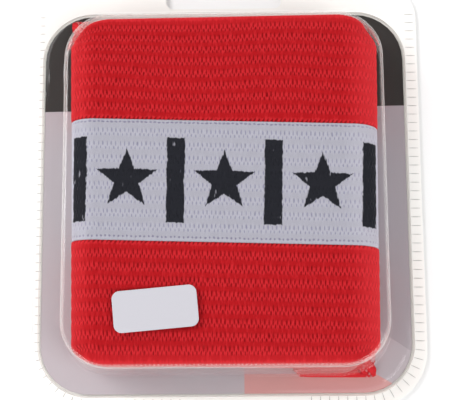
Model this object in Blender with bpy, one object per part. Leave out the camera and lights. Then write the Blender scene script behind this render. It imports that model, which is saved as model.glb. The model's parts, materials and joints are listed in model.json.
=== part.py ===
"""A captain's armband, folded flat in the clear blister pack that it is sold in.

The pack lies on its back. Z points up through the pack to its front face, Y runs from the foot
of the card to the hang slot, X runs to the right. The origin is under the middle of the pack's
bounding box. All sizes are in metres.

The armband is one loop of knitted elastic in three colour sections. It is laid flat, which gives
a front layer and a rear layer, and both ends of that flat loop are turned behind it, so that a
slice across the band looks like a flattened letter C with a double wall.
"""

import math

import bmesh
import bpy
from mathutils import Vector

MM = 0.001

# The armband
PANEL_WIDTH = 80.0 * MM
BAND_HEIGHT = 92.4 * MM
BAND_WALL = 1.3 * MM
STRIP_RECESS = 0.3 * MM
FLAP_LENGTH = 14.0 * MM
LAYER_GAP = 0.5 * MM
RIB_DEPTH = 0.3 * MM
SECTION_GAP = 0.3 * MM

# The folded band is wider than that at its head and narrower at its foot, by this share
HEAD_SPREAD = 0.018

# The stripes slope down to the right on the front, because the loop was folded askew
STRIPE_SLOPE = math.radians(1.7)

# The rear layer sags from the front: the height that it keeps and the run of its slope, as
# shares of the room inside the first bends and of the straight part of the panel
REAR_LEVEL = 0.52
REAR_SLOPE_SHARE = 0.25

# The pack
PACK_DEPTH = 16.2 * MM
FILM = 0.4 * MM
BACK_SHEET = 0.35 * MM
CARD = 0.4 * MM
GAP = 0.3 * MM
FACE_GAP = 0.45 * MM
SIDE_ROOM = 1.1 * MM
HEAD_SQUEEZE = 0.8 * MM
FOOT_ROOM = 0.2 * MM
DOME_CORNER = 12.0 * MM
DOME_DRAFT = 1.2 * MM
DOME_EDGE = 1.6 * MM
DOME_FOOT = 0.8 * MM
CARD_SIDE = 6.9 * MM
CARD_HEAD = 3.7 * MM
CARD_TOE = 5.9 * MM
CARD_CORNER = 12.8 * MM
CARD_STEP = 0.25 * MM
CRIMP_LEFT = 1.9 * MM
CRIMP_RIGHT = 3.9 * MM
CRIMP_TOE = 3.5 * MM
SHELF_SHARE = 0.72

# The hang tab and its slot
SHOULDER_RISE = 8.2 * MM
SHOULDER_RADIUS = 9.0 * MM
TAB_WIDTH = 56.0 * MM
TAB_RISE = 9.0 * MM
TAB_RADIUS = 6.0 * MM
SLOT_WIDTH = 31.5 * MM
SLOT_HEIGHT = 5.6 * MM
SLOT_RADIUS = 2.0 * MM
SLOT_RISE = 2.1 * MM
LOBE_WIDTH = 10.0 * MM
LOBE_HEIGHT = 4.0 * MM

# The sticker on the dome
LABEL_WIDTH = 21.3 * MM
LABEL_HEIGHT = 10.5 * MM
LABEL_THICK = 0.15 * MM
LABEL_CORNER = 2.0 * MM
LABEL_GAP = 0.1 * MM
LABEL_TURN = math.radians(5.0)
LABEL_X_SHARE = -0.211
LABEL_Y_SHARE = -0.341

# Colour sections from the foot up: name, share of the band's height, recess share, rib share
SECTIONS = (
    ("red_band_lower", 0.331, 0.0, 1.0),
    ("white_strip", 0.343, 1.0, 0.5),
    ("red_band_upper", 0.326, 0.0, 1.0),
)

# Every colour section is knitted with the same number of ribs
SECTION_RIBS = 9
RIB_PITCH = BAND_HEIGHT / (SECTION_RIBS * len(SECTIONS))

# Waves pressed into the upper ribs: centre and half width as shares of the panel's width, drop
# as a share of the rib pitch
WAVES = (
    (-0.12, 0.17, 0.26),
    (0.20, 0.12, -0.10),
    (0.40, 0.10, 0.12),
)

# Two corners of the rear flaps are caught under the flange, which they lift: side, end, then the
# reach of the lift along X and Y and the pull on the cloth's corner along X and Y, as shares of
# the panel's width and the band's height
CAUGHT_CORNERS = (
    (1, -1, 0.50, 0.22, 0.000, -0.001),
    (-1, 1, 0.30, 0.26, 0.006, -0.009),
)

# Facets
CORNER_STEPS = 8
SIDE_STEPS = 5
BEND_STEPS = 8
TIP_STEPS = 4
FRONT_STEPS = 10
FLAP_STEPS = 2
REAR_STEPS = 5
ARC_STEPS = 6
LINING_RIBS = 4

# Heights that follow from the stack
CARD_UNDER = BACK_SHEET + GAP
CARD_TOP = CARD_UNDER + CARD
CLOTH_UNDER = CARD_TOP + GAP
CLOTH_TOP = PACK_DEPTH - FILM - FACE_GAP
FLANGE_LOW = CARD_TOP + GAP
LIFT = BAND_WALL + GAP

# The dome's outline at its face, about the middle of the card
DOME_HALF = PANEL_WIDTH / 2 + SIDE_ROOM + FILM
DOME_SPAN = BAND_HEIGHT - HEAD_SQUEEZE + FOOT_ROOM + 2 * FILM
CARD_HALF = DOME_HALF + CARD_SIDE
CARD_SPAN = DOME_SPAN + CARD_HEAD + CARD_TOE
DOME_TOP = CARD_SPAN / 2 - CARD_HEAD
DOME_TOE = -CARD_SPAN / 2 + CARD_TOE
BAND_MIDDLE = DOME_TOE + FILM + FOOT_ROOM + BAND_HEIGHT / 2


def smoothstep(value):
    """Ease from 0 to 1 as value goes from 0 to 1."""
    value = min(1.0, max(0.0, value))
    return value * value * (3.0 - 2.0 * value)


def rounded_outline(half, low, high, radius):
    """Return the corner arcs and side points of a rounded rectangle, anticlockwise."""
    corners = (
        (half - radius, high - radius, 0.0),
        (radius - half, high - radius, 90.0),
        (radius - half, low + radius, 180.0),
        (half - radius, low + radius, 270.0),
    )
    points = []
    for index, (cx, cy, start) in enumerate(corners):
        for step in range(CORNER_STEPS + 1):
            angle = math.radians(start + 90.0 * step / CORNER_STEPS)
            points.append(Vector((cx + radius * math.cos(angle), cy + radius * math.sin(angle))))
        nx, ny, turn = corners[(index + 1) % 4]
        angle = math.radians(turn)
        begin = points[-1].copy()
        end = Vector((nx + radius * math.cos(angle), ny + radius * math.sin(angle)))
        for step in range(1, SIDE_STEPS):
            points.append(begin.lerp(end, step / SIDE_STEPS))
    return points


def dome_outline(grow):
    """Return the dome's outline, grown outwards from its face by a distance."""
    return rounded_outline(DOME_HALF + grow, DOME_TOE - grow, DOME_TOP + grow, DOME_CORNER + grow)


def card_outline(grow):
    """Return the card's outline, grown outwards by a distance."""
    half_span = CARD_SPAN / 2 + grow
    return rounded_outline(CARD_HALF + grow, -half_span, half_span, CARD_CORNER + grow)


def arc(cx, cy, radius, start, end):
    """Return points on an arc from one angle to another, in degrees."""
    angles = (math.radians(start + (end - start) * step / ARC_STEPS) for step in range(ARC_STEPS + 1))
    return [Vector((cx + radius * math.cos(angle), cy + radius * math.sin(angle))) for angle in angles]


def pack_outline():
    """Return the outline of flange and hang tab, anticlockwise from the lower right corner."""
    right = CARD_HALF + CRIMP_RIGHT
    left = -CARD_HALF - CRIMP_LEFT
    toe = -CARD_SPAN / 2 - CRIMP_TOE
    shoulder = CARD_SPAN / 2 + SHOULDER_RISE
    top = shoulder + TAB_RISE
    round_toe = CARD_CORNER + CRIMP_LEFT
    tab = TAB_WIDTH / 2
    hollow = TAB_RISE - TAB_RADIUS
    points = arc(right - round_toe, toe + round_toe, round_toe, -90, 0)
    points += arc(right - SHOULDER_RADIUS, shoulder - SHOULDER_RADIUS, SHOULDER_RADIUS, 0, 90)
    points += arc(tab + hollow, shoulder + hollow, hollow, 270, 180)
    points += arc(tab - TAB_RADIUS, top - TAB_RADIUS, TAB_RADIUS, 0, 90)[1:]
    points += arc(TAB_RADIUS - tab, top - TAB_RADIUS, TAB_RADIUS, 90, 180)
    points += arc(-tab - hollow, shoulder + hollow, hollow, 0, -90)[1:]
    points += arc(left + SHOULDER_RADIUS, shoulder - SHOULDER_RADIUS, SHOULDER_RADIUS, 90, 180)
    points += arc(left + round_toe, toe + round_toe, round_toe, 180, 270)
    return points


def slot_outline():
    """Return the outline of the hang slot, a bar with a lobe on top, anticlockwise."""
    low = CARD_SPAN / 2 + SLOT_RISE
    high = low + SLOT_HEIGHT
    half = SLOT_WIDTH / 2
    lobe = LOBE_WIDTH / 2
    points = arc(half - SLOT_RADIUS, low + SLOT_RADIUS, SLOT_RADIUS, -90, 0)
    points += arc(half - SLOT_RADIUS, high - SLOT_RADIUS, SLOT_RADIUS, 0, 90)
    points.append(Vector((lobe, high)))
    points += arc(lobe - SLOT_RADIUS, high + LOBE_HEIGHT - SLOT_RADIUS, SLOT_RADIUS, 0, 90)
    points += arc(SLOT_RADIUS - lobe, high + LOBE_HEIGHT - SLOT_RADIUS, SLOT_RADIUS, 90, 180)
    points.append(Vector((-lobe, high)))
    points += arc(SLOT_RADIUS - half, high - SLOT_RADIUS, SLOT_RADIUS, 90, 180)
    points += arc(SLOT_RADIUS - half, low + SLOT_RADIUS, SLOT_RADIUS, 180, 270)
    return points


def lift_share(x, y):
    """Return how far the flange is lifted at a point, from 0 to 1, by the caught corners."""
    share = 0.0
    for side, end, reach_x, reach_y, _, _ in CAUGHT_CORNERS:
        corner_y = DOME_TOP if end > 0 else DOME_TOE
        across = (x - side * DOME_HALF) / (reach_x * PANEL_WIDTH)
        along = (y - corner_y) / (reach_y * BAND_HEIGHT)
        share = max(share, smoothstep(2.2 * (1.0 - math.hypot(across, along))))
    return share


def foot_height(x, y):
    """Return the height of the flange's underside beside the dome's foot."""
    return FLANGE_LOW + LIFT * lift_share(x, y)


def room_at(z):
    """Return how far the dome's inner face stands outside its face outline at a height."""
    drop = (PACK_DEPTH - z) / (PACK_DEPTH - FLANGE_LOW)
    return DOME_DRAFT * drop - FILM


def settle(x, y, z, flat):
    """Press a point of the cloth into the dome, unless it lies below the lifted flange."""
    pressed = press(x, y, z, flat)
    below = foot_height(x, y) - GAP / 2 - z
    free = smoothstep(below / (GAP / 2)) * smoothstep(8.0 * (lift_share(x, y) - 0.85))
    loose = Vector((x, y, z))
    for side, end, reach_x, reach_y, pull_x, pull_y in CAUGHT_CORNERS:
        across = (x * side / PANEL_WIDTH - 0.5) / reach_x
        along = ((y - BAND_MIDDLE) * end / BAND_HEIGHT - 0.5) / reach_y
        near = smoothstep(1.0 - math.hypot(across, along))
        loose.x += pull_x * PANEL_WIDTH * near
        loose.y += pull_y * BAND_HEIGHT * near
    return pressed.lerp(loose, free)


def press(x, y, z, flat):
    """Press a point of the cloth inside the dome's rounded outline at its height."""
    room = room_at(z) - GAP
    high = DOME_TOP + room
    low = DOME_TOE - room
    y = squeeze_end(y, high, end_line(flat, 1.0), 1.0)
    y = squeeze_end(y, low, end_line(flat, -1.0), -1.0)
    radius = DOME_CORNER + room
    cx = math.copysign(DOME_HALF - DOME_CORNER, x)
    cy = DOME_TOP - DOME_CORNER if y > BAND_MIDDLE else DOME_TOE + DOME_CORNER
    u = (x - cx) * math.copysign(1.0, x)
    v = (y - cy) * (1.0 if y > BAND_MIDDLE else -1.0)
    if u <= 0.0 or v <= 0.0:
        return Vector((x, y, z))
    edge_u = PANEL_WIDTH / 2 * spread_at(y) - abs(cx)
    edge_v = DOME_CORNER + room
    fill = max(u / edge_u, v / edge_v)
    reach = math.hypot(u, v) / fill
    shrink = min(1.0, radius / reach)
    factor = 1.0 - (1.0 - shrink) * fill * fill
    return Vector((cx + (x - cx) * factor, cy + (y - cy) * factor, z))


def spread_at(y):
    """Return how wide the folded band is at a height, as a share of its panel."""
    return 1.0 + HEAD_SPREAD * (y - BAND_MIDDLE) / (BAND_HEIGHT / 2)


def end_line(flat, end):
    """Return where the band's upper or lower edge lies before it is pressed."""
    return BAND_MIDDLE + end * BAND_HEIGHT / 2 - flat * math.tan(STRIPE_SLOPE)


def squeeze_end(y, limit, edge, end):
    """Squeeze the last ribs of the band so that its edge stays within a limit."""
    over = (edge - limit) * end
    start = limit - end * 3.0 * RIB_PITCH
    depth = (y - start) * end
    if over <= 0.0 or depth <= 0.0:
        return y
    return y - end * over * depth / (3.0 * RIB_PITCH + over)


def fold_path():
    """Return the loop's mid line as (x, z, normal x, normal z, flat x) round one slice.

    The path starts at the middle of the front, runs to the right edge, round behind, along the
    rear flap to its tip, back, up inside the first bend and along the sagging rear layer, and
    then the same way round the left side. The normal points out of the loop.
    """
    middle = (CLOTH_TOP + CLOTH_UNDER) / 2
    outer = (CLOTH_TOP - CLOTH_UNDER - BAND_WALL) / 2
    inner = outer - BAND_WALL - LAYER_GAP
    tip = (BAND_WALL + LAYER_GAP) / 2
    straight = PANEL_WIDTH / 2 - outer - BAND_WALL / 2
    flap_end = straight - FLAP_LENGTH
    half = []
    for step in range(FRONT_STEPS // 2):
        half.append((straight * step / (FRONT_STEPS // 2), middle + outer, 0.0, 1.0))
    for step in range(BEND_STEPS + 1):
        angle = math.pi / 2 - math.pi * step / BEND_STEPS
        nx, nz = math.cos(angle), math.sin(angle)
        half.append((straight + outer * nx, middle + outer * nz, nx, nz))
    for step in range(1, FLAP_STEPS):
        half.append((straight - FLAP_LENGTH * step / FLAP_STEPS, middle - outer, 0.0, -1.0))
    for step in range(TIP_STEPS + 1):
        angle = -math.pi / 2 - math.pi * step / TIP_STEPS
        nx, nz = math.cos(angle), math.sin(angle)
        half.append((flap_end + tip * nx, middle - outer + tip + tip * nz, nx, nz))
    for step in range(1, FLAP_STEPS):
        half.append((flap_end + FLAP_LENGTH * step / FLAP_STEPS, middle - inner, 0.0, 1.0))
    for step in range(BEND_STEPS - 1):
        angle = -math.pi / 2 + math.pi * step / (BEND_STEPS - 2)
        nx, nz = math.cos(angle), math.sin(angle)
        half.append((straight + inner * nx, middle + inner * nz, -nx, -nz))
    drop = 2.0 * inner * (1.0 - REAR_LEVEL)
    run = 2.0 * straight * REAR_SLOPE_SHARE
    for step in range(1, REAR_STEPS + 1):
        share = step / REAR_STEPS
        fall = drop * 6.0 * share * (1.0 - share) / run
        length = math.hypot(1.0, fall)
        z = middle + inner - drop * smoothstep(share)
        half.append((straight - run * share, z, fall / length, -1.0 / length))
    half.append(((straight - run) / 2, middle + inner - drop, 0.0, -1.0))
    left = [(-x, z, -nx, nz) for x, z, nx, nz in half[:0:-1]]
    rear = (0.0, middle + inner - drop, 0.0, -1.0)
    return with_flat_places(half + [rear] + left, len(half))


def with_flat_places(path, turn):
    """Add to each point its place across the flat loop, which slopes the stripes."""
    placed = []
    flat = 0.0
    total = 0.0
    for here, after in zip(path[:turn], path[1:turn + 1]):
        total += math.hypot(after[0] - here[0], after[1] - here[1])
    walked = 0.0
    for index, point in enumerate(path):
        if index:
            before = path[index - 1]
            walked += math.hypot(point[0] - before[0], point[1] - before[1])
        around = walked / total
        flat = total / 2 * triangle_wave(around)
        placed.append((*point, flat))
    return placed


def triangle_wave(around):
    """Return 0 at the front, 1 at the right tip, 0 behind and -1 at the left tip."""
    quarter = around * 2.0
    if quarter <= 1.0:
        return quarter
    if quarter <= 3.0:
        return 2.0 - quarter
    return quarter - 4.0


def wave_drop(x, share):
    """Return how far the upper ribs dip at x, fading out towards the white strip."""
    drop = 0.0
    for centre, half_width, depth in WAVES:
        offset = (x / PANEL_WIDTH - centre) / half_width
        drop += depth * RIB_PITCH * math.exp(-offset * offset)
    return drop * math.sin(math.pi * share) ** 0.5


def knit_section(bm, low, high, recess, rib_share, waves):
    """Build one colour section of the loop as a closed ribbed wall."""
    path = fold_path()
    rows = []
    for step in range(2 * SECTION_RIBS + 1):
        crest = step % 2
        outer = BAND_WALL / 2 - recess * STRIP_RECESS - (0.0 if crest else rib_share * RIB_DEPTH)
        rows.append((step / (2 * SECTION_RIBS), outer))
    inside = max(1, SECTION_RIBS // LINING_RIBS)
    for step in range(inside, -1, -1):
        rows.append((step / inside, -BAND_WALL / 2))
    rings = []
    for share, offset in rows:
        ring = []
        for x, z, nx, nz, flat in path:
            px = x + nx * offset
            pz = z + nz * offset
            y = BAND_MIDDLE + low + (high - low) * share - flat * math.tan(STRIPE_SLOPE)
            if waves and nz > 0.5 and z > PACK_DEPTH / 2:
                y -= wave_drop(px, share)
            ring.append(bm.verts.new(settle(px * spread_at(y), y, pz, flat)))
        rings.append(ring)
    for here, after in zip(rings, rings[1:] + rings[:1]):
        join_rings(bm, here, after)


def join_rings(bm, here, after):
    """Join two closed rings of points by a band of four-sided faces."""
    count = len(here)
    for index in range(count):
        follow = (index + 1) % count
        bm.faces.new((here[index], here[follow], after[follow], after[index]))


def cap(bm, loops):
    """Fill a flat area that the first loop bounds and the other loops pierce."""
    edges = []
    for loop in loops:
        for here, after in zip(loop, loop[1:] + loop[:1]):
            edge = bm.edges.get((here, after))
            edges.append(edge or bm.edges.new((here, after)))
    bmesh.ops.triangle_fill(bm, use_beauty=True, use_dissolve=False, edges=edges)


def loop_at(bm, outline, z):
    """Add the points of a flat outline at one height."""
    return [bm.verts.new((point.x, point.y, z)) for point in outline]


def plate(bm, outlines, under, top):
    """Build a flat plate from its outer outline and the outlines of its holes."""
    lower = [loop_at(bm, outline, under) for outline in outlines]
    upper = [loop_at(bm, outline, top) for outline in outlines]
    cap(bm, lower)
    cap(bm, upper)
    for here, after in zip(lower, upper):
        join_rings(bm, here, after)


def blister_rows(skin):
    """Return the dome's profile from its face to its foot for the outer or the inner skin.

    skin is 0 for the outer skin and 1 for the inner one. Each row is how far it stands outside
    the face outline, a height, and the share of the flange's lift that it takes.
    """
    film = skin * FILM
    rows = []
    for angle in (0.0, 30.0, 60.0, 90.0):
        reach = DOME_EDGE - film
        out = -DOME_EDGE + reach * math.sin(math.radians(angle))
        rise = PACK_DEPTH - DOME_EDGE + reach * math.cos(math.radians(angle))
        rows.append((out, rise, 0.0))
    foot_top = FLANGE_LOW + FILM
    for angle in (0.0, 45.0, 90.0):
        reach = DOME_FOOT + film
        out = DOME_DRAFT + DOME_FOOT - reach * math.cos(math.radians(angle))
        rise = foot_top + DOME_FOOT - reach * math.sin(math.radians(angle))
        rows.append((out, rise, 1.0))
    return rows


def skin_rings(bm, skin):
    """Add the rings of one skin of the blister, from the dome's face out to the crimp."""
    rings = []
    for out, rise, lifted in blister_rows(skin):
        ring = []
        for point in dome_outline(out):
            lift = LIFT * lift_share(point.x, point.y) * lifted
            ring.append(bm.verts.new((point.x, point.y, rise + lift)))
        rings.append(ring)
    film = (1 - skin) * FILM
    foot = dome_outline(DOME_DRAFT + DOME_FOOT)
    rim = card_outline(CARD_STEP)
    shelf = []
    for near, far in zip(foot, rim):
        point = near.lerp(far, SHELF_SHARE)
        lift = LIFT * lift_share(near.x, near.y)
        shelf.append(bm.verts.new((point.x, point.y, FLANGE_LOW + film + lift)))
    rings.append(shelf)
    rings.append(loop_at(bm, rim, FLANGE_LOW + film))
    rings.append(loop_at(bm, card_outline(2 * CARD_STEP + GAP), BACK_SHEET + GAP + film))
    return rings


def build_blister(bm):
    """Build the clear shell: two skins joined along the pack's outline and the slot's."""
    skins = []
    for skin in (0, 1):
        rings = skin_rings(bm, skin)
        bm.faces.new(rings[0])
        for here, after in zip(rings, rings[1:]):
            join_rings(bm, here, after)
        height = BACK_SHEET + GAP + (1 - skin) * FILM
        outer = loop_at(bm, pack_outline(), height)
        slot = loop_at(bm, slot_outline(), height)
        cap(bm, [outer, rings[-1], slot])
        skins.append((outer, slot))
    for here, after in zip(*skins):
        join_rings(bm, here, after)


def build_label(bm):
    """Build the sticker as a thin plate with round corners."""
    half = LABEL_WIDTH / 2
    rise = LABEL_HEIGHT / 2
    corner = LABEL_CORNER
    outline = []
    for cx, cy, start in ((1, 1, 0), (-1, 1, 90), (-1, -1, 180), (1, -1, 270)):
        outline += arc(cx * (half - corner), cy * (rise - corner), corner, start, start + 90)
    plate(bm, [outline], 0.0, LABEL_THICK)


def make_material(name, color, roughness, alpha=1.0):
    """Make a Principled material for one kind of surface."""
    material = bpy.data.materials.new(name)
    material.use_nodes = True
    shader = material.node_tree.nodes["Principled BSDF"]
    shader.inputs["Base Color"].default_value = (*color, 1.0)
    shader.inputs["Roughness"].default_value = roughness
    shader.inputs["Metallic"].default_value = 0.0
    shader.inputs["Alpha"].default_value = alpha
    return material


def add_piece(name, bm, material, parent):
    """Turn a finished bmesh into a named object under the pack's empty."""
    bmesh.ops.recalc_face_normals(bm, faces=bm.faces)
    mesh = bpy.data.meshes.new(name)
    bm.to_mesh(mesh)
    bm.free()
    mesh.materials.append(material)
    mesh.shade_smooth()
    mesh.set_sharp_from_angle(angle=math.radians(35.0))
    piece = bpy.data.objects.new(name, mesh)
    bpy.context.scene.collection.objects.link(piece)
    piece.parent = parent
    return piece


def clear_scene():
    """Remove every object that the file opens with."""
    for old in list(bpy.data.objects):
        bpy.data.objects.remove(old, do_unlink=True)


def make_frame():
    """Add the empty that centres the pack's bounding box on the origin."""
    outline = pack_outline()
    across = [point.x for point in outline]
    along = [point.y for point in outline]
    frame = bpy.data.objects.new("pack_frame", None)
    bpy.context.scene.collection.objects.link(frame)
    frame.location = (-(min(across) + max(across)) / 2, -(min(along) + max(along)) / 2, 0.0)
    return frame


def main():
    """Build the armband and its pack."""
    clear_scene()
    red = make_material("red_elastic", (0.55, 0.02, 0.03), 0.85)
    white = make_material("white_elastic", (0.62, 0.62, 0.70), 0.85)
    clear = make_material("clear_film", (0.95, 0.96, 0.97), 0.05, 0.25)
    board = make_material("printed_board", (0.40, 0.36, 0.38), 0.55)
    paper = make_material("label_paper", (0.80, 0.80, 0.82), 0.60)
    frame = make_frame()

    low = -BAND_HEIGHT / 2
    for name, share, recess, rib_share in SECTIONS:
        high = low + share * BAND_HEIGHT
        bm = bmesh.new()
        inset = SECTION_GAP / 2
        knit_section(bm, low + inset, high - inset, recess, rib_share, name == "red_band_upper")
        add_piece(name, bm, white if recess else red, frame)
        low = high

    bm = bmesh.new()
    build_blister(bm)
    add_piece("blister", bm, clear, frame)

    bm = bmesh.new()
    plate(bm, [card_outline(0.0)], CARD_UNDER, CARD_TOP)
    add_piece("backing_card", bm, board, frame)

    bm = bmesh.new()
    plate(bm, [pack_outline(), slot_outline()], 0.0, BACK_SHEET)
    add_piece("back_sheet", bm, clear, frame)

    bm = bmesh.new()
    build_label(bm)
    label = add_piece("size_label", bm, paper, frame)
    dome_middle = (DOME_TOP + DOME_TOE) / 2
    label.location = (
        2 * DOME_HALF * LABEL_X_SHARE,
        dome_middle + DOME_SPAN * LABEL_Y_SHARE,
        PACK_DEPTH + LABEL_GAP,
    )
    label.rotation_euler.z = LABEL_TURN


main()
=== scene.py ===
"""Looks of a captain's armband in the clear blister pack that it hangs in.

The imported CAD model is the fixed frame. The three knitted colours of the folded armband get
their ribs, stitches, selvedges and print here, the formed film gets its soft rims and its crimped
margin, and the card and the sticker get their paper. The pack lies on its back on a pale floor,
and the camera looks down on it from a little way below its foot.

Lengths are in metres, in the frame's axes: X to the right of the pack, Y from the foot of the
card to the hang slot and Z up through the pack to its front face.
"""

import json
import logging
import math
from collections.abc import Sequence
from dataclasses import dataclass
from enum import Enum
from typing import Any

import bmesh
import bpy
import numpy as np
from mathutils import Matrix, Vector

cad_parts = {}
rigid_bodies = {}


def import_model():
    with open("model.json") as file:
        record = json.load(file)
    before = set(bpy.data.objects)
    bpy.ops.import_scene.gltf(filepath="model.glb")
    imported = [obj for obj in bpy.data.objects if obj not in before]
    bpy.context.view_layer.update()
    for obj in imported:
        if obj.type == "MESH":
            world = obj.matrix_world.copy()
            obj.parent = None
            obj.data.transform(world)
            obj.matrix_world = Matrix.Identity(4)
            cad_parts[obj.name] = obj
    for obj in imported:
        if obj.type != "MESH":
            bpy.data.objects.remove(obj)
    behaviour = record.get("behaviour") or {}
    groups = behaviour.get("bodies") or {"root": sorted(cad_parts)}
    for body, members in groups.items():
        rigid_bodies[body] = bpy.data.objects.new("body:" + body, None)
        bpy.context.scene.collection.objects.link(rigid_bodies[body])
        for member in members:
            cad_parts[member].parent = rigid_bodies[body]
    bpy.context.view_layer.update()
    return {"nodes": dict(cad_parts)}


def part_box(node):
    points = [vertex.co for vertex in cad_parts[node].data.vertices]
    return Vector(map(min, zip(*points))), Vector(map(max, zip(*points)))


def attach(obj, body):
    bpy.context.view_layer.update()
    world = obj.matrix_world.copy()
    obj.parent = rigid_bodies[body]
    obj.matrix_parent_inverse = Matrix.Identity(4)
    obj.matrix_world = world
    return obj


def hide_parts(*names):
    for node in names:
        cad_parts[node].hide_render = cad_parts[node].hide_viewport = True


log = logging.getLogger("armband")

MM = 0.001
COURSES = "courses"


class WhiteEdge(Enum):
    """Which ends of a colour section meet another colour."""

    LOW = "low"
    HIGH = "high"
    BOTH = "both"


def linear(code: str) -> tuple[float, float, float, float]:
    """Turn an sRGB hex colour into the linear one that a shader takes.

    Args:
        code: The colour as six hex digits after a hash.

    Returns:
        Red, green, blue and an alpha of one.
    """
    parts = (int(code[start : start + 2], 16) / 255 for start in (1, 3, 5))
    red, green, blue = (p / 12.92 if p <= 0.04045 else ((p + 0.055) / 1.055) ** 2.4 for p in parts)
    return red, green, blue, 1.0


def add_node(
    tree: bpy.types.NodeTree,
    kind: str,
    settings: dict[str, Any] | None = None,
    inputs: dict[str | int, Any] | None = None,
) -> bpy.types.Node:
    """Add a node with its settings and its links.

    Args:
        tree: The node tree that takes it.
        kind: Blender's name for the node.
        settings: Values of the node's own options.
        inputs: For each socket a plain value, a socket to link from, or a node to link from.

    Returns:
        The new node.
    """
    node = tree.nodes.new(kind)
    for name, value in (settings or {}).items():
        setattr(node, name, value)
    for key, value in (inputs or {}).items():
        source = value.outputs[0] if isinstance(value, bpy.types.Node) else value
        if isinstance(source, bpy.types.NodeSocket):
            tree.links.new(source, node.inputs[key])
        else:
            node.inputs[key].default_value = source
    return node


def new_material(name: str) -> tuple[bpy.types.Material, bpy.types.NodeTree, bpy.types.Node]:
    """Start a material with an empty tree and its output.

    Args:
        name: The material's name.

    Returns:
        The material, its tree and the output node.
    """
    material = bpy.data.materials.new(name)
    material.use_nodes = True
    tree = material.node_tree
    tree.nodes.clear()
    return material, tree, add_node(tree, "ShaderNodeOutputMaterial")


def smoothstep(value: np.ndarray) -> np.ndarray:
    """Ease from 0 to 1 as the value goes from 0 to 1."""
    value = np.clip(value, 0.0, 1.0)
    return value * value * (3.0 - 2.0 * value)


def wrap(value: np.ndarray) -> np.ndarray:
    """Return the distance from the nearest whole number, from -0.5 to 0.5."""
    return value - np.round(value)


def turn_arc(cx: float, cy: float, radius: float, start: float, end: float, steps: int) -> np.ndarray:
    """Return points on an arc.

    Args:
        cx: The centre's X.
        cy: The centre's Y.
        radius: The arc's radius.
        start: The first angle, in degrees.
        end: The last angle, in degrees.
        steps: How many chords the arc has.

    Returns:
        One row of X and Y for each point.
    """
    angle = np.radians(np.linspace(start, end, steps + 1))
    return np.stack((cx + radius * np.cos(angle), cy + radius * np.sin(angle)), axis=1)


def join_rings(
    bm: bmesh.types.BMesh, here: Sequence[bmesh.types.BMVert], after: Sequence[bmesh.types.BMVert]
) -> None:
    """Join two closed rings by a band of faces.

    Args:
        bm: The mesh that holds both.
        here: The first ring's points.
        after: The second ring's points, as many as the first one's.
    """
    for index, vertex in enumerate(here):
        follow = (index + 1) % len(here)
        bm.faces.new((vertex, here[follow], after[follow], after[index]))


def mesh_object(
    name: str, mesh: bpy.types.Mesh, materials: Sequence[bpy.types.Material]
) -> bpy.types.Object:
    """Link a mesh to the scene as an object at the origin.

    Args:
        name: The piece's name.
        mesh: The finished mesh.
        materials: The materials that it wears.

    Returns:
        The new object.
    """
    mesh.name = name
    mesh.materials.clear()
    for material in materials:
        mesh.materials.append(material)
    piece = bpy.data.objects.new(name, mesh)
    bpy.context.scene.collection.objects.link(piece)
    return piece


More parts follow.
